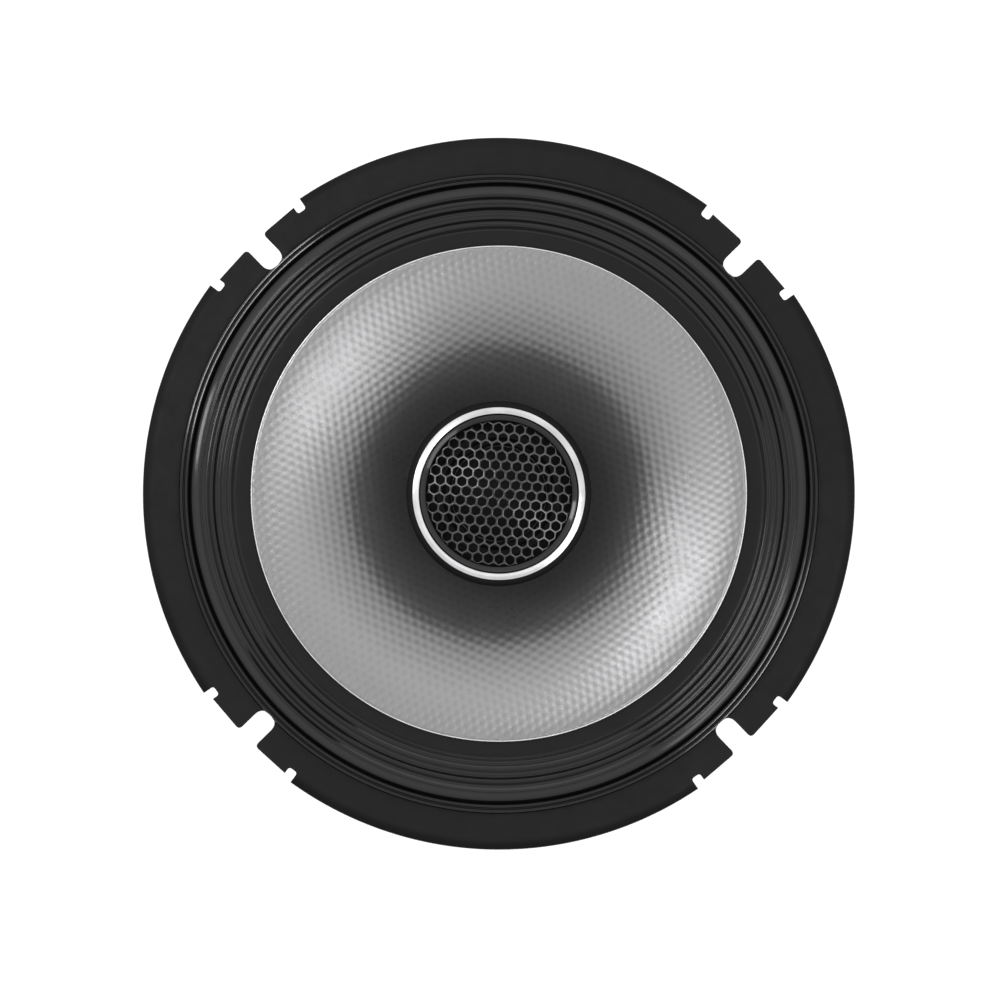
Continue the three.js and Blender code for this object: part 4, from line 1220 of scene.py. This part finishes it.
def make_capacitor():
    reach, height = CAPACITOR["reach"], CAPACITOR["height"]
    radius, half = CAPACITOR["radius"], CAPACITOR["half_length"]
    side = filleted([
        (radius - 1.1, -half + 0.15, 0), (radius - 1.0, -half, 0.1), (radius, -half, 0.7),
        (radius, half - 2.4, 0.3), (radius - 0.4, half - 1.9, 0.3), (radius, half - 1.4, 0.3),
        (radius, half, 0.7), (radius - 1.0, half, 0.1), (radius - 1.1, half - 0.2, 0),
    ])
    body = [(0, -half + 0.15), *side, (0, half - 0.2)]
    piece = lathe("crossover_can", body, SLEEVE, facets=120)
    piece.data.transform(Matrix.Rotation(-math.pi / 2, 4, "X"))
    shifted(piece, reach, 0, height)
    at_terminal(piece, "capacitor_sleeve", "crossover_capacitor")
    outline = rectangle(reach - 2.2, reach + 2.8, -7, 7)
    pad = prism("foam_pad", outline, height + 2.0, BOARD["bottom"] - 0.1, FOAM)
    hollow = lathe("pad_hollow", rectangle(0, radius + 0.1, -20, 20), None, facets=120)
    hollow.data.transform(Matrix.Rotation(-math.pi / 2, 4, "X"))
    cut(pad, [shifted(hollow, reach, 0, height)])
    at_terminal(pad, "foam_tape", "capacitor_foam_pad")


def make_leads():
    reach, height, half = CAPACITOR["reach"], CAPACITOR["height"], CAPACITOR["half_length"]
    link = [
        (reach, -half + 0.2, height), (reach, -half - 2.2, height + 0.2),
        (reach + 2.5, -half - 3.0, height + 0.8), (LEAD_FACE - 1.5, -TERMINAL_OFFSET - 2.6, height + 1.4),
        (LEAD_FACE + 0.2, -TERMINAL_OFFSET, height + 1.2),
    ]
    piece = wire("capacitor_link", smoothed(link), 0.4, SOLDER)
    at_terminal(piece, "tinsel_braid", "capacitor_lead")
    starts = {
        1: [
            (reach, half - 0.1, height), (reach, half + 2.2, height - 0.4),
            (reach + 0.8, half + 1.6, height - 4.2), (45.3, 6.0, 18.0),
        ],
        -1: [
            (LEAD_FACE + 0.1, TERMINAL_OFFSET, 25.6), (LEAD_FACE - 1.2, TERMINAL_OFFSET - 0.6, 22.6),
            (48.3, 3.6, 18.6), (45.1, 0.2, 17.2),
        ],
    }
    leads = ((1, "positive", LEAD_RED, "lead_red"), (-1, "negative", LEAD_BLACK, "lead_black"))
    for side, name, material, slot in leads:
        y = side * 0.8
        run = [
            (43.7, y, 15.5), (43.7, y, 5.0), (42.7, y, 2.0), (40.3, y, 1.2), (20, y, 1.2), (3.2, y, 1.2),
            (0.8, y, 2.0), (0, y, 4.6), (0, y, 25), (0, y, 45), (0, side * 1.0, 47.4), (0, side * 2.6, 48.3),
            (0, side * 12.5, 48.3), (0, side * 14.6, 49.2), (0, side * 15.2, 51.5), (0, side * 15.2, 54.7),
        ]
        piece = wire(f"dome_wire_{name}", smoothed([*starts[side], *run], 7), LEAD_RADIUS, material, sides=16)
        at_terminal(piece, slot, f"tweeter_lead_{name}")


def tinsel_path(side):
    return smoothed([
        (LEAD_FACE + 0.25, side * TERMINAL_OFFSET, 33.2),
        (LEAD_FACE - 1.0, side * (TERMINAL_OFFSET + 3.2), 33.6),
        (LEAD_FACE - 3.0, side * (TERMINAL_OFFSET + 6.4), 36.6),
        (LEAD_FACE - 7.0, side * (TERMINAL_OFFSET + 6.6), 40.4),
        (38, side * 12.4, 40.6), (31, side * 9.6, 38.6), (26, side * 7.8, 38.2), (23.4, side * 7.0, 38.8),
    ], 14)


def make_tinsel(side, name):
    """Four strands twisted round the lead's path, from the terminal's lug to the back of the cone."""
    path = [Vector(point) for point in tinsel_path(side)]
    strands = 4
    turns = 26
    lay_radius, strand_radius = 0.3, 0.27
    vertices = []
    faces = []
    for strand in range(strands):
        line = []
        for i, (point, across, other) in enumerate(frames_along(path)):
            turn = 2 * math.pi * (strand / strands + turns * i / len(path))
            line.append(point + (across * math.cos(turn) + other * math.sin(turn)) * lay_radius)
        more, sides = tube_mesh(line, strand_radius, 8, start=len(vertices))
        vertices += more
        faces += sides
    lead = new_piece(f"tinsel_{name}", vertices, faces, TINSEL, 60)
    turned_by(lead, TERMINAL_ANGLE)
    ends = [Matrix.Rotation(math.radians(TERMINAL_ANGLE), 4, "Z") @ (path[i] * MM) for i in (0, -1)]
    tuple(ends[0])
    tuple(ends[1])
    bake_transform(lead)
    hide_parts(f"tinsel_lead_{name}")


def make_joint_blobs():
    """Solder where wires meet the blades, and cement where the tinsel leads meet the cone."""
    solder = (SOLDER, "plated_steel", BASKET_BODY)
    cement = (CEMENT, "lead_black", CONE_BODY)
    blobs = [
        ("solder_lug_positive", (53.1, -8.0, 33.2), (0.9, 1.3, 0.9), solder),
        ("solder_lug_negative", (53.1, 8.0, 33.2), (0.9, 1.3, 0.9), solder),
        ("solder_tab_positive", (53.2, -8.0, 25.1), (0.8, 1.2, 1.0), solder),
        ("solder_tab_negative", (53.2, 8.0, 25.6), (0.8, 1.2, 1.1), solder),
        ("cement_positive", (23.6, -7.0, 38.95), (2.3, 1.9, 0.9), cement),
        ("cement_negative", (23.6, 7.0, 38.95), (2.3, 1.9, 0.9), cement),
    ]
    rows, columns = 12, 24
    ball = [(math.sin(math.pi * k / rows), -math.cos(math.pi * k / rows)) for k in range(rows + 1)]
    ball[0], ball[-1] = (0, -1), (0, 1)
    vertices, faces = lathe_mesh(ball, columns)
    for i, (name, centre, size, (material, slot, body)) in enumerate(blobs):
        lumpy = []
        for x, y, z in vertices:
            swell = 1 + 0.10 * math.sin(3 * x + 2 * y + i) + 0.06 * math.cos(5 * y - 4 * z + 2 * i)
            lumpy.append([c + p * s * swell for c, p, s in zip(centre, (x, y, z), size)])
        at_terminal(new_piece(name, lumpy, faces, material, 60), slot, body=body)


make_board()
make_blade("blade_positive", 6.3, -1, "terminal_tab_positive")
make_blade("blade_negative", 4.8, 1, "terminal_tab_negative")
make_capacitor()
make_leads()
make_tinsel(-1, "positive")
make_tinsel(1, "negative")
make_joint_blobs()
